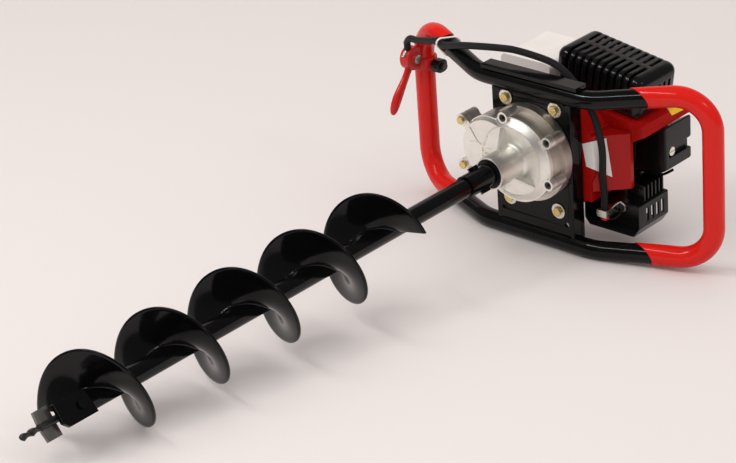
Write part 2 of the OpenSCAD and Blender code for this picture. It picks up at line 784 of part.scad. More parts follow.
module mount_plate() {
  half = plate_w / 2;
  color("#1b1b1d") lay() difference() {
    union() {
      block(-half, half, -loop_top, loop_bottom, plate_z, back_z);
      for (x = [-half, half - plate_t]) block(x, x + plate_t, -loop_top, loop_bottom, plate_z, plate_z + plate_flange);
    }
    loop_middle(tube_r + seat_fit);
    at_crank(back_z) cylinder(r = collar_r + flange_relief, h = plate_flange);
    translate([crank_x, crank_y, plate_z - cut]) cylinder(r = opening_r, h = plate_t + 2 * cut);
    for (p = plate_bolt_places) translate([p[0], p[1], plate_z - cut])
      cylinder(d = plate_bolt_d + 2 * bolt_fit, h = plate_t + 2 * cut);
    for (x = [-accessory_x, accessory_x]) translate([x, accessory_y, plate_z - cut])
      cylinder(d = accessory_d, h = plate_t + 2 * cut);
  }
}

module flat_bar() {
  bar_w = 22;
  low = -loop_top - tube_r - seat_fit;
  color("#1b1b1d") lay() block(-bar_len / 2, bar_len / 2, low - bar_t, low, tube_z - bar_w / 2, tube_z + bar_w / 2);
}

washer_t = 2;

module plate_washers() {
  color("#d6d2c2") lay() for (p = plate_bolt_places) translate([p[0], p[1], plate_z - washer_t])
    ring(washer_r, plate_bolt_d / 2 + bolt_fit, washer_t);
}

lug_thread = lug_t + 12;

module plate_bolts() {
  head_h = plate_bolt_d * head_h_ratio;
  color("#c9a640") lay() for (p = plate_bolt_places) translate([p[0], p[1], plate_z - washer_t]) {
    translate([0, 0, -head_h]) hex_head(plate_bolt_d, head_h);
    cylinder(d = plate_bolt_d, h = washer_t + plate_t + lug_thread - 3);
  }
}

// Engine

// Frame of the cylinder: x across, y to the starter, z up along the bore
module bench() {
  rolled() translate([0, 0, cyl_z]) rotate([90, 0, 0]) children();
}

module at_crank(z) {
  translate([crank_x, crank_y, z]) children();
}

wide_z = plate_z + plate_flange + 1;
lug_r = 8.5;
lug_bar = 12;
wall_x = 76;
wall_top = -30;
wall_low = 66;
wall_back = 20;
wall_deep = 16;
foot_x = 60;
foot_y = crank_y + housing_r - 4;
hub_hole = 20;
hood_z = crank_z - 10;
hood_len = 103;
hood_wall = 3;
hood = [[62, -50], [68, -45], [128, -37], [134, -24.5], [84, 3], [64, 3]];
scroll_top = -26;
scroll_low = 52;
scroll = [
  [foot_x, wide_z], [wall_x, wide_z + 3], [wall_x + 36, crank_z - 13], [wall_x + 36, crank_z - 7],
  [foot_x, crank_z - 7]
];

// A block with the scroll's plan, between two heights
module scroll_block(lines, top, low) {
  translate([0, low, 0]) rotate([90, 0, 0]) linear_extrude(low - top) polygon(lines);
}

module fan_housing() {
  inner = housing_r - housing_wall;
  color("#c4161a") lay() difference() {
    union() {
      at_crank(back_z) cylinder(r = collar_r, h = wide_z - back_z + cut);
      for (p = plate_bolt_places) {
        d = p - [crank_x, crank_y];
        translate([p[0], p[1], back_z]) cylinder(r = lug_r, h = lug_thread);
        at_crank(back_z) rotate([0, 0, atan2(d[1], d[0])]) translate([0, -lug_bar / 2, 0])
          cube([norm(d), lug_bar, lug_t]);
      }
      at_crank(wide_z) cylinder(r = housing_r, h = crank_z - wide_z);
      block(crank_x, wall_x, wall_top, wall_low, wide_z, crank_z);
      block(crank_x - housing_r / 2, foot_x, crank_y, foot_y, wide_z, crank_z);
      block(wall_x - wall_deep, wall_x, wall_top, wall_low, crank_z - cut, crank_z + wall_back);
      scroll_block(scroll, scroll_top, scroll_low);
      difference() {
        translate([0, 0, hood_z]) linear_extrude(hood_len) polygon(hood);
        translate([0, 0, crank_z + wall_back]) linear_extrude(hood_len) polygon(inset(hood, hood_wall));
        at_crank(flange_z - free_gap) cylinder(r = starter_r + cut, h = hood_len);
      }
    }
    at_crank(back_z - cut) cylinder(r = collar_in, h = wide_z - back_z + housing_wall + 2 * cut);
    at_crank(wide_z + housing_wall) cylinder(r = inner, h = crank_z - wide_z - 2 * housing_wall);
    at_crank(crank_z - housing_wall - cut) cylinder(r = hub_hole, h = housing_wall + 2 * cut);
    scroll_block([
      [wall_x + 8, crank_z - 31], [wall_x + 32, crank_z - 9], [wall_x + 32, crank_z - 6], [wall_x + 8, crank_z - 6]
    ], scroll_top + housing_wall, scroll_low - housing_wall);
    for (p = plate_bolt_places) translate([p[0], p[1], back_z - cut])
      cylinder(d = plate_bolt_d + 2 * seat_fit, h = lug_thread - 1);
  }
}

skirt_r = 25;
seat_over = 0.5;
seat_d = crankcase_r + seat_over;
seat_half = 32;
carb_y = 28;
carb_z = cyl_z + 11;
throat_r = 8;
pad_half = 12;
pad_deep = 16;
pad_x = crank_x + crankcase_r - 1;
arm_half = 12;
arm_t = 10;
tank_x = crank_x - crankcase_r - 5;

module crankcase() {
  cavity_r = 29;
  color("#9c9ea0") lay() difference() {
    union() {
      at_crank(crank_z) cylinder(r = crankcase_r, h = crankcase_len + cut);
      at_crank(flange_z) cylinder(r = starter_r, h = flange_t);
      bench() block(-seat_half, seat_half, -seat_half, seat_half, skirt_r, seat_d);
      block(crank_x, pad_x + cut, carb_y - pad_half, carb_y + pad_half, carb_z - pad_deep, carb_z + pad_deep);
      block(tank_x, crank_x, crank_y - arm_half, crank_y - arm_half + arm_t, cyl_z - arm_half, cyl_z + arm_half);
    }
    at_crank(crank_z + crank_wall) cylinder(r = cavity_r, h = crankcase_len - 2 * crank_wall);
    at_crank(crank_z + crank_wall - crank_ring)
      cylinder(r = crank_bearing_r, h = crankcase_len - 2 * crank_wall + 2 * crank_ring);
    at_crank(crank_z - cut) cylinder(r = crank_r + cut, h = crankcase_len + flange_t + 2 * cut);
    bench() cylinder(r = skirt_r + seat_fit, h = seat_d + cut);
    block(pad_x, pad_x + 2 * cut, carb_y - pad_half - cut, carb_y + pad_half + cut,
      carb_z - pad_deep - cut, carb_z + pad_deep + cut);
    translate([crank_x, carb_y, carb_z]) rotate([0, 90, 0]) cylinder(r = throat_r, h = crankcase_r + cut);
  }
}

clutch_hub_r = 14;
shoe_z = drum_z + drum_disc + 3;
shoe_t = 14;
fly_r = 50;
fly_hub_r = 14;
fly_hub_z = shoe_z + shoe_t + 3;
fly_end = crank_z - housing_wall - 3;
web_r = 25;
web_t = 10;

module crankshaft() {
  start = drum_z + drum_disc + 1.5;
  stop = starter_z + 4;
  pin_r = 7;
  color("#8d8f92") lay() at_crank(0) {
    translate([0, 0, start]) cylinder(r = crank_r, h = crank_z + crank_wall + cut + 2 - start);
    translate([0, 0, start]) cylinder(r = clutch_hub_r - seat_fit, h = fly_hub_z - start);
    for (z = [crank_z + crank_wall + 2, flange_z - crank_wall - 2 - web_t])
      translate([0, 0, z]) cylinder(r = web_r, h = web_t);
    rotate([0, 0, engine_roll]) translate([0, -half_stroke, crank_z + crank_wall + 4])
      cylinder(r = pin_r, h = crankcase_len - 2 * crank_wall - 8);
    translate([0, 0, flange_z - crank_wall - 2 - cut])
      cylinder(r = crank_r, h = stop - flange_z + crank_wall + 2 + cut);
  }
}

module flywheel() {
  blades = 12;
  blade_t = 3;
  rim_z = fly_end - 18;
  rim_t = 6;
  color("#b0b2b4") lay() at_crank(0) difference() {
    union() {
      translate([0, 0, fly_hub_z]) cylinder(r = fly_hub_r, h = fly_end - fly_hub_z);
      translate([0, 0, rim_z]) cylinder(r = fly_r, h = rim_t);
      for (i = [0 : blades - 1]) rotate([0, 0, i * 360 / blades])
        translate([fly_hub_r + 8, -blade_t / 2, rim_z]) cube([fly_r - fly_hub_r - 9, blade_t, fly_end - rim_z]);
    }
    translate([0, 0, fly_hub_z - cut]) cylinder(r = crank_r + seat_fit, h = fly_end - fly_hub_z + 2 * cut);
  }
}

module clutch_shoes() {
  split = 4;
  shoe_r = drum_r - drum_wall - 1;
  color("#6b6d70") lay() at_crank(shoe_z) difference() {
    ring(shoe_r, clutch_hub_r, shoe_t);
    translate([-split / 2, -drum_r, -cut]) cube([split, 2 * drum_r, shoe_t + 2 * cut]);
  }
}

body_r = 27;
fin_first = 44;
fin_pitch = 6;
fin_count = 7;
fin_t = 2.5;
head_half = 30;
head_d = 86;
dome_d = 78;
port_d = 72;
port_x = body_r + 1;
stub_r = 6.5;
plug_thread_r = 5;

module cylinder_block() {
  fin_x = 37;
  fin_y = 31;
  difference() {
    union() {
      cylinder(r = skirt_r - seat_fit, h = head_d - cut);
      translate([0, 0, seat_d]) cylinder(r = body_r, h = head_d - seat_d);
      block(-head_half, head_half, -head_half, head_half, seat_d, seat_d + 4);
      for (i = [0 : fin_count - 1])
        block(-fin_x, fin_x, -fin_y, fin_y, fin_first + i * fin_pitch, fin_first + i * fin_pitch + fin_t);
      block(-head_half, head_half, -head_half, head_half, dome_d, head_d);
    }
    translate([port_x, 0, port_d]) rotate([0, 90, 0]) cylinder(r = stub_r + 2, h = fin_x);
  }
  block(0, port_x, -stub_r - 3, stub_r + 3, port_d - stub_r - 3, port_d + stub_r + 3);
}

module cylinder_barrel() {
  skirt_low = seat_d - 7;
  difference() {
    cylinder_block();
    translate([0, 0, -cut]) cylinder(r = skirt_r + cut, h = skirt_low + cut);
    cylinder(r = bore_r, h = dome_d);
    translate([0, 0, dome_d - cut]) cylinder(r = plug_thread_r, h = head_d - dome_d + 2 * cut);
    translate([0, 0, port_d]) rotate([0, 90, 0]) cylinder(r = stub_r - 1, h = port_x + cut);
  }
}

module engine_cylinder() {
  color("#a4a6a8") lay() bench() cylinder_barrel();
}

module piston() {
  low = 41;
  tall = 22;
  crown = 5;
  wall = 3;
  color("#b5b7b9") lay() bench() translate([0, 0, low]) difference() {
    cylinder(r = bore_r - run_fit - seat_fit, h = tall);
    translate([0, 0, -cut]) cylinder(r = bore_r - wall, h = tall - crown + cut);
  }
}

plug_top = head_d + 19;
plug_pin_r = 5;
boot_low = head_d + 10;
boot_r = 8;

module spark_plug() {
  hex_h = 8;
  color("#e4e2da") lay() bench() {
    translate([0, 0, dome_d]) cylinder(r = plug_thread_r - seat_fit, h = head_d - dome_d + cut);
    translate([0, 0, head_d]) cylinder(r = 2 * plug_thread_r, h = hex_h, $fn = 6);
    translate([0, 0, head_d]) cylinder(r = plug_pin_r, h = plug_top - head_d);
  }
}

module plug_boot() {
  elbow_r = 5;
  elbow_len = 18;
  color("#141416") lay() bench() difference() {
    union() {
      translate([0, 0, boot_low]) cylinder(r = boot_r, h = plug_top - boot_low + boot_r);
      translate([0, 0, plug_top]) rotate([0, -90, 0]) cylinder(r = elbow_r, h = elbow_len);
    }
    translate([0, 0, boot_low - cut]) cylinder(r = plug_pin_r + seat_fit, h = plug_top - boot_low + cut + seat_fit);
  }
}

cover_left = -41;
cover_right = 92;
cover_low = 70;
cover_top = plug_top + boot_r + boot_gap + cover_wall;
cover_front = crank_z - 5 - cyl_z;
cover_back = cover_front + cover_z;

module cover_slots(low, high) {
  edge = 9;
  mid = (cover_front + cover_back) / 2;
  spine = 4;
  count = floor((cover_right - cover_left - 2 * edge) / slot_pitch);
  first = (cover_left + cover_right - (count - 1) * slot_pitch - slot_w) / 2;
  for (i = [0 : count - 1]) {
    x = first + i * slot_pitch;
    for (y = [cover_front, cover_back]) block(x, x + slot_w, y - cover_wall - cut, y + cover_wall + cut, low, high);
    block(x, x + slot_w, cover_front + edge, mid - spine, cover_top - cover_wall - cut, cover_top + cut);
    block(x, x + slot_w, mid + spine, cover_back - edge, cover_top - cover_wall - cut, cover_top + cut);
  }
  side = floor((cover_back - cover_front - 2 * edge) / slot_pitch);
  start = (cover_front + cover_back - (side - 1) * slot_pitch - slot_w) / 2;
  for (i = [0 : side - 1])
    block(cover_right - cover_wall - cut, cover_right + cut, start + i * slot_pitch, start + i * slot_pitch + slot_w,
      low, high);
}

module cylinder_cover() {
  stay_r = 5;
  stay_x = 23;
  color("#19191b") lay() bench() difference() {
    union() {
      difference() {
        block(cover_left, cover_right, cover_front, cover_back, cover_low, cover_top);
        block(cover_left + cover_wall, cover_right - cover_wall, cover_front + cover_wall, cover_back - cover_wall,
          cover_low - cut, cover_top - cover_wall);
      }
      for (x = [-stay_x, stay_x], y = [-stay_x, stay_x]) translate([x, y, head_d + seat_fit])
        cylinder(r = stay_r, h = cover_top - cover_wall - head_d);
    }
    cover_slots(cover_low + 8, cover_top - 7);
  }
}

module muffler() {
  x0 = 44;
  x1 = 88;
  y0 = crank_z + 1 - cyl_z;
  long = 70;
  y1 = y0 + long;
  d0 = 64;
  d1 = 110;
  wall = 2;
  color("#5d5a56") lay() bench() difference() {
    union() {
      block(x0, x1, y0, y1, d0, d1);
      translate([port_x + seat_fit, 0, port_d]) rotate([0, 90, 0]) cylinder(r = stub_r, h = x0 - port_x);
    }
    block(x0 + wall, x1 - wall, y0 + wall, y1 - wall, d0 + wall, d1 - wall);
    translate([port_x, 0, port_d]) rotate([0, 90, 0]) cylinder(r = stub_r - wall, h = x0 - port_x + 2 * wall);
    translate([x1 - wall - cut, (y0 + y1) / 2, (d0 + d1) / 2]) rotate([0, 90, 0])
      cylinder(r = stub_r, h = wall + 2 * cut);
  }
}

spacer_len = 10;
carb_x = pad_x + spacer_len;
carb_len = 24;
base_x = carb_x + carb_len;
filter_x = base_x + 5;
filter_front = cyl_z - 10.5;
filter_back = filter_front + filter_z;

module intake_spacer() {
  color("#1a1a1a") lay() difference() {
    block(pad_x + seat_fit, carb_x, carb_y - pad_half, carb_y + pad_half, carb_z - pad_deep + 2, carb_z + pad_deep - 2);
    translate([pad_x - cut, carb_y, carb_z]) rotate([0, 90, 0]) cylinder(r = throat_r, h = spacer_len + 2 * cut);
  }
}

primer_r = 8;
primer_x = carb_x + carb_len / 2;
primer_z = carb_z + 4;
carb_low = carb_y + 13;
primer_deep = 9;

module carburettor() {
  color("#b9bbbd") lay() difference() {
    block(carb_x + seat_fit, base_x, carb_y - 13, carb_low, carb_z - 16, carb_z + 17);
    translate([carb_x - cut, carb_y - 3, carb_z]) rotate([0, 90, 0])
      cylinder(r = throat_r - 1, h = carb_len + 2 * cut);
    translate([primer_x, carb_low - primer_deep, primer_z]) rotate([-90, 0, 0])
      cylinder(r = primer_r + free_gap, h = primer_deep + cut);
  }
}

module primer_bulb() {
  stand = 8;
  inside = 4;
  color("#8a1f1c") lay() translate([primer_x, carb_low - inside, primer_z]) rotate([-90, 0, 0]) rotate_extrude()
    polygon([[0, 0], [primer_r, 0], [primer_r, inside + stand / 2], [primer_r / 2, inside + stand], [0, inside + stand]]);
}

choke_y = carb_y + 27;
choke_z = carb_z + 10;
choke_pin_r = 2.5;

module filter_base() {
  color("#1b1b1d") lay() difference() {
    block(base_x + seat_fit, filter_x, filter_top + 3.5, choke_y + 7, filter_front, filter_back);
    translate([base_x - cut, carb_y - 3, carb_z]) rotate([0, 90, 0])
      cylinder(r = throat_r - 1, h = filter_x - base_x + 2 * cut);
    translate([base_x - cut, choke_y, choke_z]) rotate([0, 90, 0])
      cylinder(r = choke_pin_r + run_fit, h = filter_x - base_x + 2 * cut);
  }
}

module choke_lever() {
  blade_t = 4;
  blade_w = 8;
  reach = 30;
  knob = 12;
  color("#1f1f21") lay() translate([filter_x + bolt_fit, choke_y, choke_z]) {
    translate([base_x - filter_x, 0, 0]) rotate([0, 90, 0]) cylinder(r = choke_pin_r, h = filter_x - base_x + blade_t);
    rotate([0, 90, 0]) cylinder(r = blade_w / 2 + 1, h = blade_t);
    block(0, blade_t, -blade_w / 2, blade_w / 2, 0, reach);
    block(0, knob, -blade_w / 2, blade_w / 2, reach - blade_t, reach);
  }
}

screw_y = 10.5;
screw_z = filter_front + 15;
cover_end = 143;
filter_wall = 2.5;
filter_top = 0.5;
filter_lines = [
  [filter_x + seat_fit, filter_top], [cover_end, -28.2], [cover_end, 33], [cover_end - 22, 47], [filter_x + seat_fit, 43]
];
filter_screw_r = 3;

module filter_element() {
  color("#7d7a6c") lay() difference() {
    block(filter_x + seat_fit, filter_x + 20, screw_y + 8, screw_y + 28, filter_front + 6, filter_back - 6);
    translate([filter_x - cut, carb_y - 3, carb_z]) rotate([0, 90, 0]) cylinder(r = throat_r - 1, h = 12);
  }
}

module filter_cover() {
  color("#19191b") lay() difference() {
    translate([0, 0, filter_front]) linear_extrude(filter_z) polygon(filter_lines);
    difference() {
      translate([-filter_wall - cut, 0, filter_front + filter_wall]) linear_extrude(filter_z - 2 * filter_wall)
        polygon(inset(filter_lines, filter_wall));
      translate([filter_x, screw_y, screw_z]) rotate([0, 90, 0])
        cylinder(r = filter_screw_r + 4, h = cover_end - filter_x);
      block(cover_end - 8, cover_end, screw_y - 10, screw_y + 10, screw_z - 11, filter_back);
    }
    translate([filter_x - cut, screw_y, screw_z]) rotate([0, 90, 0])
      cylinder(r = filter_screw_r + bolt_fit, h = cover_end - filter_x + 2 * cut);
    block(cover_end - 5, cover_end + cut, screw_y - 7, screw_y + 7, screw_z - 8, filter_back + cut);
  }
}

module filter_screw() {
  head_t = 4;
  color("#d3d1c8") lay() translate([cover_end - 5, screw_y, screw_z]) rotate([0, 90, 0]) difference() {
    union() {
      translate([0, 0, filter_x - cover_end + 5]) cylinder(r = filter_screw_r, h = cover_end - filter_x - 5);
      cylinder(r = 2 * filter_screw_r, h = head_t);
    }
    translate([-filter_screw_r * 2, -0.6, head_t - 1.5]) cube([filter_screw_r * 4, 1.2, 3]);
  }
}

module ignition_coil() {
  half = 13;
  color("#232326") lay() intersection() {
    rolled() block(-half, half, -housing_r, -fly_r - free_gap, fly_end - 19, fly_end - 2);
    at_crank(wide_z) cylinder(r = housing_r - housing_wall - seat_fit, h = housing_len);
  }
}

tank_left = -112;
tank_top = -84;
tank_low = 10;
tank_front = crank_z + 4;
tank_len = 92;
tank_back = tank_front + tank_len;
tank_step_x = -52;
tank_step_z = flange_z - 3;
neck_x = -82;
neck_y = -40;
neck_r = 16;
neck_h = 10;
tank_round = 8;

module tank_shape(g) {
  translate([0, 0, tank_front + g]) linear_extrude(tank_step_z - tank_front - 2 * g)
    rounded_rect(tank_left + g, tank_top + g, tank_x - seat_fit - g, tank_low - g, tank_round - g);
  translate([0, 0, tank_front + g]) linear_extrude(tank_back - tank_front - 2 * g)
    rounded_rect(tank_left + g, tank_top + g, tank_step_x - g, tank_low - g, tank_round - g);
}

module fuel_tank() {
  color("#e6e7e6") lay() difference() {
    union() {
      tank_shape(0);
      translate([neck_x, neck_y, tank_back - cut]) cylinder(r = neck_r, h = neck_h + cut);
    }
    tank_shape(tank_wall);
    translate([neck_x, neck_y, tank_back - tank_wall - cut])
      cylinder(r = neck_r - tank_wall, h = neck_h + tank_wall + 2 * cut);
  }
}

module fuel_cap() {
  wall = 4;
  gap = 0.3;
  ribs = 16;
  color("#151517") lay() translate([neck_x, neck_y, tank_back + cut]) difference() {
    cylinder(r = neck_r + gap + wall, h = neck_h + wall);
    translate([0, 0, -cut]) cylinder(r = neck_r + gap, h = neck_h + cut - 0.5);
    for (i = [0 : ribs - 1]) rotate([0, 0, i * 360 / ribs]) translate([neck_r + gap + wall, 0, 2])
      cylinder(r = 1.5, h = neck_h + wall);
  }
}

guard_x0 = crank_x + sqrt(pow(housing_r, 2) - pow(foot_y - crank_y, 2)) + free_gap;
guard_x1 = 128;
guard_low = 119;
guard_front = crank_z - 20;
guard_len = 66;
guard_wall = 3;
guard_lines = [
  [guard_x0, foot_y + seat_fit], [guard_x1, foot_y + seat_fit], [guard_x1, guard_low - 14],
  [guard_x1 - 10, guard_low], [guard_x0 + 8, guard_low], [guard_x0, guard_low - 10]
];

module lower_guard() {
  slots = 4;
  fins = 6;
  fin_t = 3;
  fin_pitch = 8;
  fin_top = foot_y - 22;
  fin_start = guard_front + 18;
  color("#1a1a1c") lay() difference() {
    union() {
      translate([0, 0, guard_front]) linear_extrude(guard_len) polygon(guard_lines);
      for (i = [0 : fins - 1]) block(guard_x1 - 31, guard_x1 - 4, fin_top, foot_y + guard_wall / 2,
        fin_start + i * fin_pitch, fin_start + i * fin_pitch + fin_t);
    }
    translate([0, 0, guard_front + guard_wall]) linear_extrude(guard_len) polygon(inset(guard_lines, guard_wall));
    for (i = [0 : slots - 1]) block(guard_x1 - guard_wall - cut, guard_x1 + cut, foot_y + 9, guard_low - 20,
      guard_front + 17 + i * slot_pitch, guard_front + 17 + i * slot_pitch + slot_w);
  }
}

post_r = 8;
reel_z = starter_z + 12;
reel_t = 14;
rope_r = 2.2;
reel_r = 30;
rope_y = crank_y + reel_r;
reel_mid = reel_z + reel_t / 2;
rope_out = crank_x - sqrt(starter_r * starter_r - reel_r * reel_r);
starter_wall = 3;

module starter_housing() {
  slots = 20;
  slot_in = 26;
  slot_out = starter_r - 9;
  color("#1c1c1e") lay() difference() {
    union() {
      difference() {
        at_crank(starter_z + seat_fit) cylinder(r = starter_r, h = starter_len - seat_fit);
        at_crank(starter_z) cylinder(r = starter_r - starter_wall, h = starter_len - starter_wall);
      }
      at_crank(reel_z - 2) cylinder(r = post_r, h = end_z - reel_z);
    }
    for (i = [0 : slots - 1]) at_crank(end_z - starter_wall - cut) rotate([0, 0, i * 360 / slots])
      translate([slot_in, -slot_w / 2, 0]) cube([slot_out - slot_in, slot_w, starter_wall + 2 * cut]);
    translate([crank_x - starter_r - cut, rope_y, reel_mid]) rotate([0, 90, 0]) cylinder(r = rope_r + cut, h = starter_r);
  }
}

module starter_reel() {
  lip_r = 40;
  lip_t = 3;
  core_r = reel_r - rope_r - 0.3;
  color("#d8d6cf") lay() at_crank(reel_z) difference() {
    union() {
      cylinder(r = core_r, h = reel_t);
      for (z = [0, reel_t - lip_t]) translate([0, 0, z]) cylinder(r = lip_r, h = lip_t);
    }
    translate([0, 0, -cut]) cylinder(r = post_r + seat_fit, h = reel_t + 2 * cut);
  }
}

module starter_handle() {
  grip_len = 36;
  bar_r = 8;
  stand = 3;
  color("#151517") lay() union() {
    translate([rope_out - stand - bar_r, rope_y, reel_mid]) rotate([0, 90, 0])
      cylinder(r = rope_r, h = crank_x - rope_out + stand + bar_r);
    translate([rope_out - stand - bar_r, rope_y, reel_mid - grip_len / 2]) cylinder(r = bar_r, h = grip_len);
  }
}

// Controls

hand_z = tube_z + handle_rise;
lever_y = -handle_top + 47;
lever_z = hand_z - lever_offset;
clamp_top = lever_y + 6;
clamp_low = clamp_top + 18;
clamp_in = grip_r + seat_fit;
clamp_r = clamp_in + clamp_wall;
clamp_half = 9;
clamp_block_top = lever_y - 26;
clamp_block_low = lever_y + 20;
clamp_front = lever_z - 24;
clamp_back = hand_z - 19;
slot_top = lever_y - 10;
lever_pin_r = 3;
conduit_z = lever_z - 7;
conduit_in = 12;
conduit_fit = 0.3;

module throttle_clamp() {
  slot_half = lever_t / 2 + free_gap;
  color("#9e1614") lay() translate([-handle_x, 0, 0]) difference() {
    union() {
      translate([0, clamp_low, hand_z]) rotate([90, 0, 0]) cylinder(r = clamp_r, h = clamp_low - clamp_top);
      block(-clamp_half, clamp_half, clamp_block_top, clamp_block_low, clamp_front, clamp_back);
      block(-clamp_half, clamp_half, clamp_top, clamp_block_low, clamp_back - cut, hand_z - clamp_in + 2);
    }
    translate([0, clamp_low + cut, hand_z]) rotate([90, 0, 0])
      cylinder(r = clamp_in, h = clamp_low - clamp_top + 2 * cut);
    block(-slot_half, slot_half, slot_top, clamp_block_low + cut, clamp_front - cut, clamp_back + free_gap);
    translate([-clamp_half - cut, lever_y, lever_z]) rotate([0, 90, 0])
      cylinder(r = lever_pin_r + seat_fit, h = 2 * clamp_half + 2 * cut);
    translate([0, clamp_block_top + conduit_in, conduit_z]) rotate([90, 0, 0])
      cylinder(r = conduit_r + conduit_fit, h = conduit_in + cut);
  }
}

module lever_screw() {
  head_t = 3;
  color("#d3d1c8") lay() translate([-handle_x, lever_y, lever_z]) rotate([0, 90, 0]) difference() {
    union() {
      translate([0, 0, -clamp_half]) cylinder(r = lever_pin_r, h = 2 * clamp_half);
      for (z = [-clamp_half - head_t, clamp_half]) translate([0, 0, z]) cylinder(r = 2 * lever_pin_r, h = head_t);
    }
    translate([-3 * lever_pin_r, -0.6, -clamp_half - head_t - cut]) cube([6 * lever_pin_r, 1.2, cut + 1.2]);
  }
}

module throttle_lever() {
  droop = 34;
  eye_r = 8;
  arm_w = 11;
  hook = 10;
  color("#8e1513") lay() translate([-handle_x, lever_y, lever_z]) rotate([-droop, 0, 0]) difference() {
    translate([-lever_t / 2, 0, 0]) rotate([90, 0, 90]) linear_extrude(lever_t) {
      circle(r = eye_r);
      translate([0, -arm_w / 2]) square([lever_len, arm_w]);
      translate([lever_len, 0]) circle(r = arm_w / 2);
      translate([lever_len - arm_w / 2, -hook]) square([arm_w, hook]);
    }
    translate([-lever_t, 0, 0]) rotate([0, 90, 0]) cylinder(r = lever_pin_r + run_fit, h = 2 * lever_t);
  }
}

switch_x = -handle_x + clamp_r + bolt_fit;
switch_end = switch_x + 15;
switch_z = hand_z;
switch_y = (clamp_top + clamp_low) / 2;
button_r = 5;
button_deep = 7;

module stop_switch() {
  half = 10;
  color("#141416") lay() difference() {
    block(switch_x, switch_end, clamp_top, clamp_low, switch_z - half, switch_z + half);
    translate([switch_end - button_deep, switch_y, switch_z]) rotate([0, 90, 0])
      cylinder(r = button_r + conduit_fit, h = button_deep + cut);
  }
}

module stop_button() {
  inside = 4.5;
  stand = 3.5;
  color("#b3201c") lay() translate([switch_end - inside, switch_y, switch_z]) rotate([0, 90, 0])
    cylinder(r = button_r, h = inside + stand);
}

// Route of the conduit from the throttle clamp along the tube to the lower guard, with a ring at each step
conduit_sides = 10;
conduit_steps = 3;
tie_along = 74;
tie_side = [-4.9, -9.5, -15.5];
clip_drop = 20;
clip_z = guard_front - clip_drop;
drop_x = crank_x + housing_r + conduit_r + free_gap;
arch_y = -loop_top - 34;
function beside_leg(along, off) = mid_point(-1, top_end) + leg_dir(-1, top_end) * along + off;
conduit_route = [
  [-handle_x, clamp_block_top + conduit_in - 2, conduit_z],
  [-handle_x, clamp_block_top - 1, conduit_z],
  [-handle_x, clamp_block_top - 5, conduit_z],
  [-handle_x + 7, clamp_block_top - 12, conduit_z - 1],
  [-handle_x + 22, clamp_block_top - 14, conduit_z - 4],
  beside_leg(tie_along + 25, [-6.9, -8, -19.9]),
  beside_leg(tie_along + 9, tie_side),
  beside_leg(tie_along - 5, tie_side),
  [-loop_mid_x - 30, arch_y + 6, tube_z + 7],
  [-loop_mid_x + 25, arch_y, tube_z + 14],
  [-35, arch_y, tube_z + 19],
  [12, arch_y + 5, tube_z + 22],
  [35, arch_y + 16, tube_z + 24],
  [53, arch_y + 32, tube_z + 25],
  [75, arch_y + 54, tube_z + 20],
  [drop_x - 1, arch_y + 77, tube_z + 19],
  [drop_x + 5, arch_y + 110, tube_z + 20],
  [drop_x + 3, foot_y - 44, tube_z + 22],
  [drop_x + 1, foot_y - 16, clip_z - 1],
  [drop_x, foot_y + 1, clip_z],
  [drop_x, foot_y + 12, clip_z]
];

function weave(a, b, c, d, t) =
  (b * 2 + (c - a) * t + (a * 2 - b * 5 + c * 4 - d) * t * t + (b * 3 - a - c * 3 + d) * t * t * t) / 2;

function smooth(p) = concat([
  for (i = [0 : len(p) - 2], k = [0 : conduit_steps - 1])
    weave(p[max(i - 1, 0)], p[i], p[i + 1], p[min(i + 2, len(p) - 1)], k / conduit_steps)
], [p[len(p) - 1]]);

function heading(q, i) = unit(q[min(i + 1, len(q) - 1)] - q[max(i - 1, 0)]);

module cable_conduit() {
  n = conduit_sides;
  q = smooth(conduit_route);
  points = [for (i = [0 : len(q) - 1]) each ring_points(q[i], heading(q, i), conduit_r, n)];
  sides = [
    for (i = [0 : len(q) - 2], k = [0 : n - 1])
      [i * n + k, i * n + (k + 1) % n, i * n + n + (k + 1) % n, i * n + n + k]
  ];
  first = [for (k = [0 : n - 1]) n - 1 - k];
  last = [for (k = [0 : n - 1]) (len(q) - 1) * n + k];
  color("#1d1d1f") lay() polyhedron(points, concat([first], sides, [last]));
}

tie_reach = 18.8;
tie_room = 0.8;

module tie_loop(grow, h) {
  linear_extrude(h) hull() {
    circle(r = tube_r + grow);
    translate([tie_reach, 0]) circle(r = conduit_r + grow + tie_room);
  }
}

module cable_tie() {
  width = 5;
  band = 1.4;
  slack = 0.5;
  ez = leg_dir(-1, top_end);
  ex = unit(cross(ez, cross(tie_side, ez)));
  ey = cross(ez, ex);
  m = mid_point(-1, top_end) + ez * tie_along;
  color("#e9e9e6") lay() multmatrix([
    [ex[0], ey[0], ez[0], m[0]],
    [ex[1], ey[1], ez[1], m[1]],
    [ex[2], ey[2], ez[2], m[2]],
    [0, 0, 0, 1]
  ]) difference() {
    tie_loop(slack + band, width);
    translate([0, 0, -cut]) tie_loop(slack, width + 2 * cut);
  }
}

module cable_clip() {
  clip_y = foot_y + 4;
  clip_t = 10;
  half = conduit_r + 3;
  color("#b7b5ae") lay() difference() {
    block(drop_x - half, drop_x + half, clip_y, clip_y + clip_t, clip_z - half, guard_front - seat_fit);
    translate([drop_x, clip_y - cut, clip_z]) rotate([-90, 0, 0])
      cylinder(r = conduit_r + conduit_fit, h = clip_t + 2 * cut);
  }
}

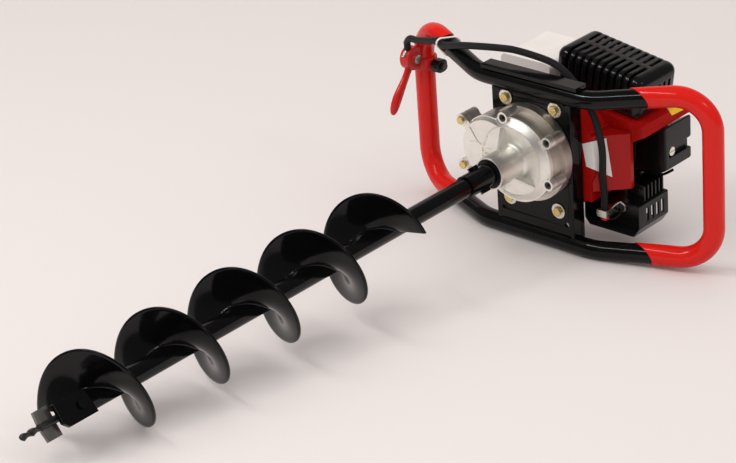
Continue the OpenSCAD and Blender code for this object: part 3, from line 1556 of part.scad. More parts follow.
drill_pipe();
drill_socket();
flight();
pilot_point();
fishtail_wings();
blade_holder();
holder_bolt();
cross_bolt();
output_shaft();
output_gear();
gearbox_cover();
gearbox_case();
hub_seal();
bearings();
idler_shaft();
idler_gear();
clutch_drum();
cover_bolts();
cover_cap_screws();
frame_tube();
mount_plate();
flat_bar();
grip_left();
grip_right();
plate_bolts();
plate_washers();
fan_housing();
crankcase();
crankshaft();
flywheel();
clutch_shoes();
engine_cylinder();
piston();
spark_plug();
plug_boot();
cylinder_cover();
muffler();
intake_spacer();
carburettor();
choke_lever();
primer_bulb();
filter_base();
filter_element();
filter_cover();
filter_screw();
ignition_coil();
fuel_tank();
fuel_cap();
lower_guard();
starter_housing();
starter_reel();
starter_handle();
throttle_clamp();
throttle_lever();
lever_screw();
stop_switch();
stop_button();
cable_conduit();
cable_tie();
cable_clip();
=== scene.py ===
# %% [markdown]
# An earth auger lies on a pale studio floor: a helical drill, a cast gearbox, a two-handled tube frame
# and a small petrol engine. The solids come from the CAD model, in metres, and they carry the sizes and
# joints. This lesson gives each of them its finish, and adds the small moulded shapes that a solid leaves
# out.

# %% Load the frame
import json
import math

import bmesh
import bpy
from mathutils import Matrix, Vector


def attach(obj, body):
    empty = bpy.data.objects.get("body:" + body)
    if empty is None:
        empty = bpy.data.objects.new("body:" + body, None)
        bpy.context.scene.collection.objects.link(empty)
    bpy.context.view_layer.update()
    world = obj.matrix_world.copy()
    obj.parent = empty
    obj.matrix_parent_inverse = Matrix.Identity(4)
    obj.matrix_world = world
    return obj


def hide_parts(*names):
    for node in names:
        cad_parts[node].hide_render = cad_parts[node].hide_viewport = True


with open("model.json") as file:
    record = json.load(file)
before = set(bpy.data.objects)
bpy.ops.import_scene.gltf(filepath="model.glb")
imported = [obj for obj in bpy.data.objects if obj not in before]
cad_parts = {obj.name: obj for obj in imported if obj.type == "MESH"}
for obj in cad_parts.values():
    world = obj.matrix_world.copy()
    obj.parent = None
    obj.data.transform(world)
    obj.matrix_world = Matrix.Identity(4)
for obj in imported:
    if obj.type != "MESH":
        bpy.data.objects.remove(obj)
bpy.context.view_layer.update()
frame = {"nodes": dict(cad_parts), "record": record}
nodes = frame["nodes"]
print("CAD solids:", len(nodes))

# %% [markdown]
# The drill's own frame is handy for placing details: z runs along the drill from its point, x to the
# right handle and y to the side that lies on the floor. The machine lies tilted by about six degrees,
# because it rests on the drill's edge and on the lower tube. Every detail could be placed in the world by
# hand, but one matrix that takes the drill's millimetres to the world's metres keeps the numbers those of
# the real machine.

# %% The drill's frame
MM = 0.001
FLIGHT_R = 60.0
FLIGHT_PITCH = 118.0
FLIGHT_START = 74.0
FLIGHT_PHASE = 160.8475
FIRST_LOW = 450.0
TUBE_R = 12.7
TUBE_Z = 897.0
LOOP_TOP = 87.0
LOOP_BOTTOM = 124.0
CRANK_Y = 8.0
STARTER_R = 64.0
END_Z = 1074.0
LAY_SIDE = 2.025
rest_z = FLIGHT_START + FLIGHT_PITCH * (FIRST_LOW - FLIGHT_PHASE) / 360
rest_run = TUBE_Z - rest_z
rest_gap = math.hypot(rest_run, LOOP_BOTTOM)
tilt = math.atan(LOOP_BOTTOM / rest_run) - math.asin((FLIGHT_R - TUBE_R) / rest_gap)
lay_lift = TUBE_R + LOOP_BOTTOM * math.cos(tilt) - TUBE_Z * math.sin(tilt)
lay_back = (CRANK_Y + STARTER_R) * math.sin(tilt) + END_Z * math.cos(tilt)
LAY = (
    Matrix.Scale(MM, 4)
    @ Matrix.Translation((LAY_SIDE, -lay_back / 2, lay_lift))
    @ Matrix.Rotation(tilt - math.pi / 2, 4, "X")
)
point_at = LAY @ Vector((0, 0, 0))
print("tilt %.2f degrees, drill point at" % math.degrees(tilt), tuple(round(v, 4) for v in point_at))

# %% [markdown]
# The photograph was taken with a long lens from the front right, a little above. Its viewing angle was
# worked out from the drill's axis, the handles and the tube. A camera can be aimed at a target, but three
# measured directions also fix its roll, so they are written straight into its matrix.

# %% Camera
eye = Vector((1.947, -2.157, 1.281))
view_right = Vector((0.7465, 0.6654, 0.0004))
view_up = Vector((-0.2466, 0.2761, 0.9289))
view_ahead = Vector((-0.618, 0.6935, -0.3702))
shot = bpy.data.cameras.new("camera")
shot.sensor_width = 36
shot.lens = 126.4
shot.clip_end = 60
camera = bpy.data.objects.new("camera", shot)
camera.matrix_world = Matrix((
    (view_right.x, view_up.x, -view_ahead.x, eye.x),
    (view_right.y, view_up.y, -view_ahead.y, eye.y),
    (view_right.z, view_up.z, -view_ahead.z, eye.z),
    (0, 0, 0, 1),
))
bpy.context.collection.objects.link(camera)
bpy.context.scene.camera = camera
print("camera looks along", tuple(round(v, 3) for v in view_ahead))

# %% [markdown]
# The floor sweeps up into the wall behind, like a paper roll in a studio, so that no line shows where
# they meet. A bent plane would do, but a short profile carried sideways gives the sweep a true radius.
# Most meshes of this lesson start as such a list of points and faces, and a small helper makes an object
# of the list.

# %% Studio floor
FLOOR_HALF = 9.0
WALL_FOOT = 5.0
WALL_TOP = 8.0
SWEEP_R = 2.5
SWEEP_STEPS = 12
PAPER = (0.69, 0.65, 0.638, 1)
PAPER_ROUGH = 0.9


def smooth_faces(mesh):
    mesh.polygons.foreach_set("use_smooth", [True] * len(mesh.polygons))


def place_mesh(name, mesh):
    obj = bpy.data.objects.new(name, mesh)
    bpy.context.collection.objects.link(obj)
    return obj


def new_mesh(name, verts, faces, smooth=True):
    mesh = bpy.data.meshes.new(name)
    mesh.from_pydata([tuple(v) for v in verts], [], faces)
    mesh.validate()
    bm = bmesh.new()
    bm.from_mesh(mesh)
    bmesh.ops.recalc_face_normals(bm, faces=bm.faces)
    bm.to_mesh(mesh)
    bm.free()
    if smooth:
        smooth_faces(mesh)
    return place_mesh(name, mesh)


def sweep_floor():
    profile = [(-FLOOR_HALF, 0.0), (WALL_FOOT, 0.0)]
    for k in range(1, SWEEP_STEPS + 1):
        a = math.pi / 2 * k / SWEEP_STEPS
        profile.append((WALL_FOOT + SWEEP_R * math.sin(a), SWEEP_R - SWEEP_R * math.cos(a)))
    profile.append((WALL_FOOT + SWEEP_R, WALL_TOP))
    turn = Matrix.Rotation(math.atan2(-view_ahead.x, view_ahead.y), 4, "Z")
    sides = (-FLOOR_HALF, FLOOR_HALF)
    verts = [turn @ Vector((side, along, high)) for along, high in profile for side in sides]
    faces = [(2 * i, 2 * i + 1, 2 * i + 3, 2 * i + 2) for i in range(len(profile) - 1)]
    return new_mesh("studio_floor", verts, faces)


floor = sweep_floor()
paper = bpy.data.materials.new("studio_paper")
paper.use_nodes = True
paper_shader = paper.node_tree.nodes["Principled BSDF"]
paper_shader.inputs["Base Color"].default_value = PAPER
paper_shader.inputs["Roughness"].default_value = PAPER_ROUGH
floor.data.materials.append(paper)
print("floor faces:", len(floor.data.polygons))

# %% [markdown]
# The picture has pale, even light with soft shadows. One bright room could give that, but flat: here a
# wide soft box overhead fills the shadows, two small boxes give the sides their shape, and a narrow strip
# draws the white streaks on the tubes. Each is an area lamp turned towards a target.

# %% Lamps
LAMP_TARGET = Vector((0, 0.2, 0.1))
STRIP_TARGET = Vector((0.15, 0.4, 0.25))
SIDE_TINT = (1.0, 0.97, 0.95)
TOP_TINT = (1.0, 0.98, 0.97)


def lamp(name, place, target, size, power, tint):
    light = bpy.data.lights.new(name, "AREA")
    light.shape = "RECTANGLE"
    light.size, light.size_y = size
    light.energy = power
    light.color = tint
    obj = bpy.data.objects.new(name, light)
    obj.location = place
    obj.rotation_euler = (target - Vector(place)).to_track_quat("-Z", "Y").to_euler()
    bpy.context.collection.objects.link(obj)
    return obj


lamp("soft_box_left", (-1.8, -2.0, 2.9), LAMP_TARGET, (0.8, 0.4), 15, SIDE_TINT)
lamp("soft_box_right", (2.6, 0.2, 2.2), LAMP_TARGET, (0.7, 0.35), 6, SIDE_TINT)
overhead = lamp("soft_box_top", (0.0, 0.3, 3.4), LAMP_TARGET, (4.6, 4.2), 26, TOP_TINT)
overhead.visible_glossy = False
lamp("strip_light", (-0.33, -1.1, 1.79), STRIP_TARGET, (1.3, 0.07), 9, TOP_TINT)
print("lamps:", len(bpy.data.lights))

# %% [markdown]
# The room round the table is bright. Gloss paint would turn grey in it, so mirrored rays see a dim room,
# as they do where black cloth hangs round a studio table. Black screens could be modelled, but the Light
# Path node tells mirrored rays from the others, and it leaves the floor free. Two helpers add and link
# nodes.

# %% Room
ROOM_FILL = 0.95
ROOM_MIRRORED = 0.16
ROOM_TINT = (1.0, 0.96, 0.94, 1)


def add_node(tree, kind, sockets):
    node = tree.nodes.new("ShaderNode" + kind)
    for socket, value in sockets.items():
        node.inputs[socket].default_value = value
    return node


def link(tree, source, output, target, socket):
    tree.links.new(source.outputs[output], target.inputs[socket])


def studio_world():
    world = bpy.data.worlds.new("studio")
    world.use_nodes = True
    tree = world.node_tree
    sky = tree.nodes["Background"]
    sky.inputs["Color"].default_value = ROOM_TINT
    rays = add_node(tree, "LightPath", {})
    level = add_node(tree, "MapRange", {"To Min": ROOM_FILL, "To Max": ROOM_MIRRORED})
    link(tree, rays, "Is Glossy Ray", level, "Value")
    link(tree, level, "Result", sky, "Strength")
    return world


bpy.context.scene.world = studio_world()
bpy.context.scene.view_settings.view_transform = "Standard"
print("room strength: %.2f, mirrored %.2f" % (ROOM_FILL, ROOM_MIRRORED))

# %% [markdown]
# No real surface is even: paint pools, castings are grainy, plastic is rubbed. Photographs of surfaces
# could show that, but a noise texture does it at any size. One cloud of noise lets the colour and the
# roughness drift together, and a finer noise raises a bump for the grain.

# %% Drift and grain
CLOUD_LOW = 0.3
CLOUD_HIGH = 0.7
GRAIN_DEPTH = 0.0005
GLOSS_SHARE = 0.15
LEAST_ROUGH = 0.03


def colour_drift(tree, cloud, low, high):
    tint = add_node(tree, "ValToRGB", {})
    for stop, place, colour in zip(tint.color_ramp.elements, (CLOUD_LOW, CLOUD_HIGH), (low, high)):
        stop.position = place
        stop.color = (*colour, 1)
    link(tree, cloud, "Fac", tint, "Fac")
    return tint


def gloss_drift(tree, cloud, rough):
    gloss = add_node(tree, "MapRange", {
        "From Min": CLOUD_LOW, "From Max": CLOUD_HIGH,
        "To Min": max(LEAST_ROUGH, rough * (1 - GLOSS_SHARE)), "To Max": min(1, rough * (1 + GLOSS_SHARE)),
    })
    link(tree, cloud, "Fac", gloss, "Value")
    return gloss


def surface_grain(tree, scale, grain, bump):
    fine = add_node(tree, "TexNoise", {"Scale": grain, "Detail": 3})
    link(tree, scale, "Vector", fine, "Vector")
    relief = add_node(tree, "Bump", {"Strength": bump, "Distance": GRAIN_DEPTH})
    link(tree, fine, "Fac", relief, "Height")
    return relief


print("drift between %.1f and %.1f of the cloud" % (CLOUD_LOW, CLOUD_HIGH))

# %% [markdown]
# A finish joins the drift and the grain on one shader. Each could be its own node tree, but they differ
# only in a few values, so one function takes those. All of them read object coordinates, so the detail
# has its real size in metres.

# %% One finish
finishes = {}


def finish(name, colour, rough, metal=0.0, drift=0.12, grain=900.0, bump=0.05, patch=35.0,
           stretch=(1, 1, 1), spec=0.5, dark=None):
    mat = bpy.data.materials.new(name)
    mat.use_nodes = True
    tree = mat.node_tree
    shader = tree.nodes["Principled BSDF"]
    coords = add_node(tree, "TexCoord", {})
    scale = add_node(tree, "Mapping", {"Scale": stretch})
    cloud = add_node(tree, "TexNoise", {"Scale": patch, "Detail": 6})
    link(tree, coords, "Object", scale, "Vector")
    link(tree, scale, "Vector", cloud, "Vector")
    low = dark or tuple(c * (1 - drift) for c in colour)
    high = tuple(min(1, c * (1 + drift)) for c in colour)
    link(tree, colour_drift(tree, cloud, low, high), "Color", shader, "Base Color")
    link(tree, gloss_drift(tree, cloud, rough), "Result", shader, "Roughness")
    link(tree, surface_grain(tree, scale, grain, bump), "Normal", shader, "Normal")
    shader.inputs["Metallic"].default_value = metal
    shader.inputs["Specular IOR Level"].default_value = spec
    return mat


def add_finish(name, colour, rough, **detail):
    finishes[name] = finish(name, colour, rough, **detail)


print("finish: colour, roughness and grain in one function")

# %% [markdown]
# The metals are bare steel, steel dark with scale, cast aluminium and two colours of zinc plate. A
# metal's colour is the colour of its reflection, so the clean ones are pale and differ most in roughness.
# The gearbox case is the cover's aluminium darkened as painted shade, the fins are dark with painted shade,
# and the cutting wings are worn.

# %% Metals
add_finish("dark_steel", (0.06, 0.06, 0.06), 0.4, metal=0.8, drift=0.3, grain=700, bump=0.15)
add_finish("bare_steel", (0.5, 0.49, 0.47), 0.32, metal=1.0, drift=0.15, grain=800, bump=0.12)
add_finish("cast_aluminium", (0.95, 0.91, 0.85), 0.42, metal=1.0, drift=0.1, grain=1100, bump=0.3, patch=28)
# Painted shade: the gearbox case is the cover's aluminium with a darker colour, for the shade on its side
# and top
add_finish("shaded_cast_aluminium", (0.68, 0.635, 0.58), 0.45, metal=1.0, drift=0.16, grain=1000, bump=0.35, patch=28)
add_finish("gold_zinc", (0.72, 0.52, 0.16), 0.28, metal=1.0, drift=0.25, grain=500, bump=0.08, patch=300,
           dark=(0.6, 0.5, 0.3))
add_finish("silver_zinc", (0.8, 0.78, 0.7), 0.26, metal=1.0, drift=0.1, grain=500, bump=0.06, patch=200)
# Painted shade: the fins are darkened for the shade they lie in behind the cover's slots
add_finish("shaded_fin_metal", (0.012, 0.012, 0.012), 0.5, metal=0.6, drift=0.3, grain=800, bump=0.3)
add_finish("worn_steel", (0.2, 0.19, 0.18), 0.42, metal=0.9, drift=0.3, grain=600, bump=0.25,
           stretch=(1, 4, 1))
print("metals:", len(finishes))

# %% [markdown]
# The tubes and the drill are painted a deep gloss black, the fan housing, the grips and the throttle are
# three reds, and the rest is moulded. These are not metals: their colour is the paint's own, and a clear
# gloss lies over it. A low specular level keeps the blacks deep.

# %% Paints and plastics
add_finish("black_paint", (0.0022, 0.0022, 0.0025), 0.12, drift=0.2, grain=260, bump=0.04, spec=0.24)
add_finish("red_gloss", (0.33, 0.005, 0.004), 0.18, drift=0.05, grain=500, bump=0.05, patch=20, spec=0.22)
add_finish("red_sleeve", (0.6, 0.009, 0.005), 0.17, drift=0.03, grain=300, bump=0.03, patch=15, spec=0.3)
add_finish("red_lever", (0.5, 0.012, 0.01), 0.24, drift=0.08, grain=400, bump=0.06, spec=0.35)
add_finish("black_plastic", (0.0035, 0.0035, 0.004), 0.2, drift=0.25, grain=1500, bump=0.08, spec=0.32)
add_finish("black_rubber", (0.005, 0.005, 0.0055), 0.5, drift=0.25, grain=900, bump=0.2, spec=0.25)
add_finish("white_plastic", (0.7, 0.67, 0.635), 0.35, drift=0.04, grain=700, bump=0.05)
add_finish("porcelain", (0.8, 0.79, 0.74), 0.15, drift=0.03, grain=300, bump=0.02)
add_finish("filter_foam", (0.3, 0.28, 0.2), 0.95, drift=0.2, grain=1200, bump=0.8)
print("finishes:", len(finishes))

# %% [markdown]
# Every solid takes the finish of its material slot, or one of its own. Real edges are never sharp, so a
# small bevel catches the light along them. The edges could be rounded in the CAD model, at the cost of
# many faces, and a modifier does it here. The corners are welded first, because a bevel needs faces that
# share their edges, and the shading then follows the large faces, which stay flat beside the round edges.

# %% Dress the solids
WELD_GAP = 0.00001
EDGE_PLAIN = 0.4
SOLID_EDGE_ANGLE = 35
EDGE_ROUND = {
    "gearbox_cover": 1.6, "gearbox_case": 1.8, "fan_housing": 2.4, "filter_cover": 3.0, "lower_guard": 2.5,
    "fuel_tank": 3.0, "starter_housing": 2.0, "crankcase": 1.0, "mount_plate": 0.8, "flat_bar": 0.6,
    "fuel_cap": 1.0, "plate_bolts": 0.4, "cover_bolts": 0.4, "blade_holder": 0.6, "fishtail_wings": 0.5,
    "drill_socket": 0.8,
}
# The gearbox case's own finish is its cover's aluminium darkened as painted shade
OWN_FINISH = {
    # The engine cylinder's own finish is darkened as painted shade behind the cover's slots
    "engine_cylinder": "shaded_fin_metal", "gearbox_case": "shaded_cast_aluminium", "holder_bolt": "black_paint",
    "cross_bolt": "black_paint", "fishtail_wings": "worn_steel", "stop_button": "dark_steel",
}
# Finer pieces below take the place of these solids
MADE_FINER = {
    "flight", "frame_tube", "grip_left", "grip_right", "cable_conduit", "cable_tie", "cylinder_cover",
    "throttle_clamp", "throttle_lever", "stop_switch", "pilot_point",
}


def round_edges(obj, width, segments, angle):
    bevel = obj.modifiers.new("edge", "BEVEL")
    bevel.width = width * MM
    bevel.segments = segments
    bevel.limit_method = "ANGLE"
    bevel.angle_limit = math.radians(angle)
    return bevel


def soften(obj, node):
    weld = obj.modifiers.new("corners", "WELD")
    weld.merge_threshold = WELD_GAP
    segments = 3 if node in EDGE_ROUND else 2
    bevel = round_edges(obj, EDGE_ROUND.get(node, EDGE_PLAIN), segments, SOLID_EDGE_ANGLE)
    bevel.use_clamp_overlap = node != "filter_cover"
    shade = obj.modifiers.new("shade", "WEIGHTED_NORMAL")
    shade.keep_sharp = True


slot_of = {s["node"]: s["material_slot"] for s in frame["record"]["subparts"]}
for node, obj in nodes.items():
    obj.data.materials.clear()
    obj.data.materials.append(finishes[OWN_FINISH.get(node, slot_of[node])])
    smooth_faces(obj.data)
    if node not in MADE_FINER:
        soften(obj, node)
print("dressed:", len(slot_of))

# %% [markdown]
# Tubes, wires, welds and rods are all one idea: a ring of points is carried along a line, and the rings
# are joined by faces. A Blender curve with a bevel would give plain tubes too, but rings of any outline
# also make sleeves, levers and helices. A bend is an arc that touches both of its straight neighbours, as
# on a tube bender.

# %% Rings and sweeps
TUBE_SIDES = 36
SHARP_ANGLE = 50


def round_angles(sides):
    return [2 * math.pi * k / sides for k in range(sides)]


def bend(a, b, c, radius, steps):
    u, v = (a - b).normalized(), (c - b).normalized()
    half = u.angle(v) / 2
    centre = b + (u + v).normalized() * (radius / math.sin(half))
    start = (b + u * (radius / math.tan(half)) - centre).normalized()
    turns = [(math.pi - 2 * half) * k / steps for k in range(steps + 1)]
    return [centre + (start * math.cos(turn) - u * math.sin(turn)) * radius for turn in turns]


def ring(centre, heading, radius, sides=TUBE_SIDES):
    across = heading.cross(Vector((0, 0, 1))).normalized()
    over = heading.cross(across)
    return [centre + (across * math.cos(a) + over * math.sin(a)) * radius for a in round_angles(sides)]


def headings(path):
    last = len(path) - 1
    return [(path[min(i + 1, last)] - path[max(i - 1, 0)]).normalized() for i in range(len(path))]


def skin(name, rings, capped=True, matrix=LAY):
    n = len(rings[0])
    verts = [matrix @ p for r in rings for p in r]
    faces = [(i * n + k, i * n + (k + 1) % n, (i + 1) * n + (k + 1) % n, (i + 1) * n + k)
             for i in range(len(rings) - 1) for k in range(n)]
    if capped:
        faces += [tuple(range(n)), tuple((len(rings) - 1) * n + k for k in range(n))]
    obj = new_mesh(name, verts, faces)
    obj.data.set_sharp_from_angle(angle=math.radians(SHARP_ANGLE))
    return obj


def dress(obj, body, slot, *replaced):
    obj.data.materials.clear()
    obj.data.materials.append(finishes[slot])
    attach(obj, body)
    if replaced:
        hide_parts(*replaced)
    return obj


print("ring: %d sides" % TUBE_SIDES)

# %% [markdown]
# The frame is one bent steel tube, closed by a seam under the machine. The solid has flat facets round
# its bends, which show in gloss paint. More faces in the solid would hide them, but a finer sweep along
# the same centreline takes its place with less work.

# %% Frame tube
LOOP_MID = 90.0
HANDLE_X = 238.0
HANDLE_TOP = 109.0
HANDLE_BOTTOM = 122.0
HANDLE_RISE = 60.0
CORNER_R = 46.0
CORNER_STEPS = 16
MID_BEND_R = 80.0
MID_BEND_STEPS = 8
SEAM_HALF_GAP = 0.3


def mid_point(side, end):
    return Vector((side * LOOP_MID, -LOOP_TOP if end < 0 else LOOP_BOTTOM, TUBE_Z))


def corner_point(side, end):
    return Vector((side * HANDLE_X, -HANDLE_TOP if end < 0 else HANDLE_BOTTOM, TUBE_Z + HANDLE_RISE))


def handle_stops(side):
    near, far = corner_point(side, side), corner_point(side, -side)
    return [mid_point(side, side), near, far, mid_point(side, -side)]


def handle_path(side):
    stops = handle_stops(side)
    return bend(*stops[:3], CORNER_R, CORNER_STEPS) + bend(*stops[1:], CORNER_R, CORNER_STEPS)


def loop_path():
    low = Vector((SEAM_HALF_GAP, LOOP_BOTTOM, TUBE_Z))
    path = [low]
    for side in (1, -1):
        stops = handle_stops(side)
        path += bend(mid_point(-side, side), *stops[:2], MID_BEND_R, MID_BEND_STEPS)
        path += handle_path(side)
        path += bend(*stops[2:], mid_point(-side, -side), MID_BEND_R, MID_BEND_STEPS)
    return path + [low - Vector((2 * SEAM_HALF_GAP, 0, 0))]


loop = loop_path()
tube_rings = [ring(p, t, TUBE_R) for p, t in zip(loop, headings(loop))]
dress(skin("frame_loop", tube_rings), "machine", "black_paint", "frame_tube")
print("frame loop: %d rings" % len(loop))

# %% [markdown]
# The red sleeves are soft plastic, dipped or shrunk onto the handles. Their ends are cut aslant and the
# edge is rounded. Cutting a tube with a tilted box would leave a sharp end, so each sleeve is a sweep
# whose last rings lean over and close in on the tube.

# %% Grip sleeves
SLEEVE_R = 14.1
# Distance from the sleeve's end, and the radius there
SLEEVE_LIP = ((0.0, TUBE_R + 0.03), (0.1, 13.3), (0.5, 13.8), (1.4, SLEEVE_R))
# Side, distance along the leg, and how far the end leans with y and with z
SLEEVES = {"grip_left": (-1, 98.0, (1.0, 0.0)), "grip_right": (1, 65.5, (0.45, 1.12))}


def aslant(points, centre, along, slant):
    return [p + along * ((p.y - centre.y) * slant[0] + (centre.z - p.z) * slant[1]) for p in points]


def sleeve_end(side, end, sense, start, slant):
    mid = mid_point(side, end)
    leg = (corner_point(side, end) - mid).normalized()
    rings = []
    for offset, radius in SLEEVE_LIP:
        at = mid + leg * (start + offset)
        rings.append(aslant(ring(at, leg * sense, radius), at, leg, slant))
    return rings


def sleeve_rings(side, start, slant):
    path = handle_path(side)
    body = [ring(p, t, SLEEVE_R) for p, t in zip(path, headings(path))]
    last = sleeve_end(side, -side, -1, start, slant)
    return sleeve_end(side, side, 1, start, slant) + body + last[::-1]


for node, (side, start, slant) in SLEEVES.items():
    sleeve = skin("sleeve_" + node, sleeve_rings(side, start, slant), capped=False)
    dress(sleeve, "machine", "red_sleeve", node)
print("sleeves:", len(SLEEVES))

# %% [markdown]
# The flight is a strip of plate pulled into a helix and welded to the pipe, and its rim is worn round. A
# Screw modifier could turn the strip, but carrying its section round the drill in small steps gives the
# rim its own points, and the smooth gloss of the paint.

# %% Helical flight
FLIGHT_SHEET = 4.0
FLIGHT_TURNS = 4.5254
FLIGHT_STEP = 4
FLIGHT_ROWS = (22, 34, 46, 56)
PIPE_R = 12.5
ROOT_SINK = 0.5
# How far in from the rim and off the face the worn edge runs
RIM_WEAR = ((0.8, 0.1), (0.0, 0.9))


def flight_section():
    half = FLIGHT_SHEET / 2
    under = [(r, -half) for r in (PIPE_R - ROOT_SINK, *FLIGHT_ROWS)]
    under += [(FLIGHT_R - inward, off - half) for inward, off in RIM_WEAR]
    return under + [(r, -high) for r, high in reversed(under)]


def helix(angle, radius, high):
    a = math.radians(FLIGHT_PHASE + angle)
    climb = FLIGHT_START + FLIGHT_PITCH * angle / 360
    return Vector((radius * math.cos(a), radius * math.sin(a), climb + high))


def flight_angles(step):
    return range(0, int(FLIGHT_TURNS * 360) + 1, step)


flight_rings = [[helix(a, r, high) for r, high in flight_section()] for a in flight_angles(FLIGHT_STEP)]
dress(skin("helical_flight", flight_rings), "drill", "black_paint", "flight")
print("flight: %d steps" % len(flight_rings))

# %% [markdown]
# A fillet weld runs along both sides of the flight's root. A bump could draw its ripples, but they show
# at the edge of the pipe, so the bead is a sweep that swells and narrows in a regular beat as it follows
# the helix.

# %% Weld at the flight's root
BEAD_R = 2.3
BEAD_SWELL = 0.1
BEAD_BEAT = 12
BEAD_STEP = 6
BEAD_SIDES = 8
BEAD_OUT = 0.4
BEAD_SIDE = 2.4


def bead_rings(high):
    rings = []
    for turn in flight_angles(BEAD_STEP):
        r = BEAD_R * (1 + BEAD_SWELL * math.cos(2 * math.pi * turn / BEAD_BEAT))
        rings.append([helix(turn, PIPE_R + BEAD_OUT + r * math.cos(a), high + r * math.sin(a))
                      for a in round_angles(BEAD_SIDES)])
    return rings


for word, high in (("under", -BEAD_SIDE), ("over", BEAD_SIDE)):
    dress(skin("root_weld_" + word, bead_rings(high)), "drill", "black_paint")
print("weld beads: 2")

# %% [markdown]
# The throttle cable and the stop wires run in a conduit from the left handle to the engine. The solid's
# route is repeated here. Straight pieces between its points would kink, and a smooth curve through them
# bends as a conduit does.

# %% Conduit
CONDUIT_R = 4.75
CONDUIT_SIDES = 20
CURVE_STEPS = 6
HOLD_Y = -82.0
conduit_route = (
    (-238, HOLD_Y + 10, 924), (-238, HOLD_Y - 1, 924), (-238, HOLD_Y - 5, 924), (-231, HOLD_Y - 12, 923),
    (-216, HOLD_Y - 14, 920), (-187.8, -103.0, 914.5), (-171.1, -107.8, 912.4), (-158.2, -105.9, 907.2),
    (-120, -115, 904), (-65, -121, 911), (-35, -121, 916), (12, -116, 919), (35, -105, 921), (53, -89, 922),
    (75, -67, 917), (87.25, -44, 916), (93.25, -11, 917), (91.25, 28, 919), (89.25, 56, 924),
    (88.25, 73, 925), (88.25, 84, 925),
)


def smooth_path(points):
    p = [Vector(q) for q in points]
    last = len(p) - 1
    path = []
    for i in range(last):
        a, b, c, d = p[max(i - 1, 0)], p[i], p[i + 1], p[min(i + 2, last)]
        for k in range(CURVE_STEPS):
            t = k / CURVE_STEPS
            path.append((b * 2 + (c - a) * t + (a * 2 - b * 5 + c * 4 - d) * t * t
                         + (b * 3 - a - c * 3 + d) * t * t * t) / 2)
    return path + [p[last]]


run = smooth_path(conduit_route)
conduit_rings = [ring(p, t, CONDUIT_R, CONDUIT_SIDES) for p, t in zip(run, headings(run))]
conduit = dress(skin("braided_conduit", conduit_rings), "machine", "black_rubber", "cable_conduit")
run_lengths = [0.0]
for a, b in zip(run, run[1:]):
    run_lengths.append(run_lengths[-1] + (b - a).length)
print("conduit: %.0f mm long" % run_lengths[-1])

# %% [markdown]
# The conduit is braided. Threads could be modelled one by one, but at this size a bump is enough: the
# surface is unrolled into millimetres along and around, and two sets of slanting bands cross on it.

# %% Braid
BRAID_PITCH = 2.2
BRAID_DEPTH = 0.0006
# A wave texture at this scale repeats once in each unit of length
WAVE_UNIT = 0.314


def unroll(obj, lengths, sides, around):
    layer = obj.data.uv_layers.new(name="unrolled")
    for face in obj.data.polygons:
        spots = [divmod(obj.data.loops[k].vertex_index, sides) for k in face.loop_indices]
        wraps = {0, sides - 1} <= {k for _, k in spots}
        for corner, (i, k) in zip(face.loop_indices, spots):
            layer.data[corner].uv = (lengths[i], around * (1 if wraps and k == 0 else k / sides))


def braid(name, colour):
    mat = finish(name, colour, 0.4, drift=0.2, grain=900, bump=0.1, spec=0.3)
    tree = mat.node_tree
    spread = add_node(tree, "UVMap", {})
    spread.uv_map = "unrolled"
    cross = add_node(tree, "Math", {})
    cross.operation = "MAXIMUM"
    for k, turn in enumerate((45, -45)):
        slant = add_node(tree, "Mapping", {"Rotation": (0, 0, math.radians(turn))})
        band = add_node(tree, "TexWave", {"Scale": WAVE_UNIT / BRAID_PITCH})
        link(tree, spread, "UV", slant, "Vector")
        link(tree, slant, "Vector", band, "Vector")
        link(tree, band, "Fac", cross, k)
    plait = add_node(tree, "Bump", {"Strength": 0.9, "Distance": BRAID_DEPTH})
    link(tree, cross, "Value", plait, "Height")
    link(tree, plait, "Normal", tree.nodes["Principled BSDF"], "Normal")
    return mat


unroll(conduit, run_lengths, CONDUIT_SIDES, 2 * math.pi * CONDUIT_R)
conduit.data.materials[0] = braid("braided_sleeve", (0.008, 0.008, 0.009))
print("braid: one band each %.1f mm" % BRAID_PITCH)

# %% [markdown]
# The cover over the cylinder is a thin moulded shell with big round edges, and its cooling slots run up
# the front wall, over the edge and along the top. Slots could be cut with booleans, which leave ragged
# edges. A grid does it cleanly: its rows follow the round profile, and its columns step across the slots.

# %% Rows and columns of the cover
COVER_X = (-45.0, 94.0)
COVER_Y = (-37.5, 45.5)
COVER_LOW = 70.0
COVER_TOP = 121.0
COVER_ROUND = 13.0
SLOT_LOW = 78.0
SLOT_W = 5.0
SLOT_PITCH = 11.0
SPINE = 4.0
QUARTER_STEPS = 6


def quarter():
    return [math.pi / 2 * k / QUARTER_STEPS for k in range(QUARTER_STEPS + 1)]


# Each row is a place and its outward direction: y, height, and both again
def cover_rows():
    front, back = COVER_Y
    brow = COVER_TOP - COVER_ROUND
    half = [(front, COVER_LOW, -1, 0), (front, SLOT_LOW, -1, 0)]
    for a in quarter():
        c, s = math.cos(a), math.sin(a)
        half.append((front + COVER_ROUND * (1 - c), brow + COVER_ROUND * s, -c, s))
    half.append(((front + back) / 2 - SPINE, COVER_TOP, 0, 1))
    return half + [(front + back - y, high, -out, rise) for y, high, out, rise in reversed(half)]


def slot_edges(low, high):
    count = int((high - low - 2 * COVER_ROUND) // SLOT_PITCH)
    first = (low + high - (count - 1) * SLOT_PITCH - SLOT_W) / 2
    return [(first + i * SLOT_PITCH, first + i * SLOT_PITCH + SLOT_W) for i in range(count)]


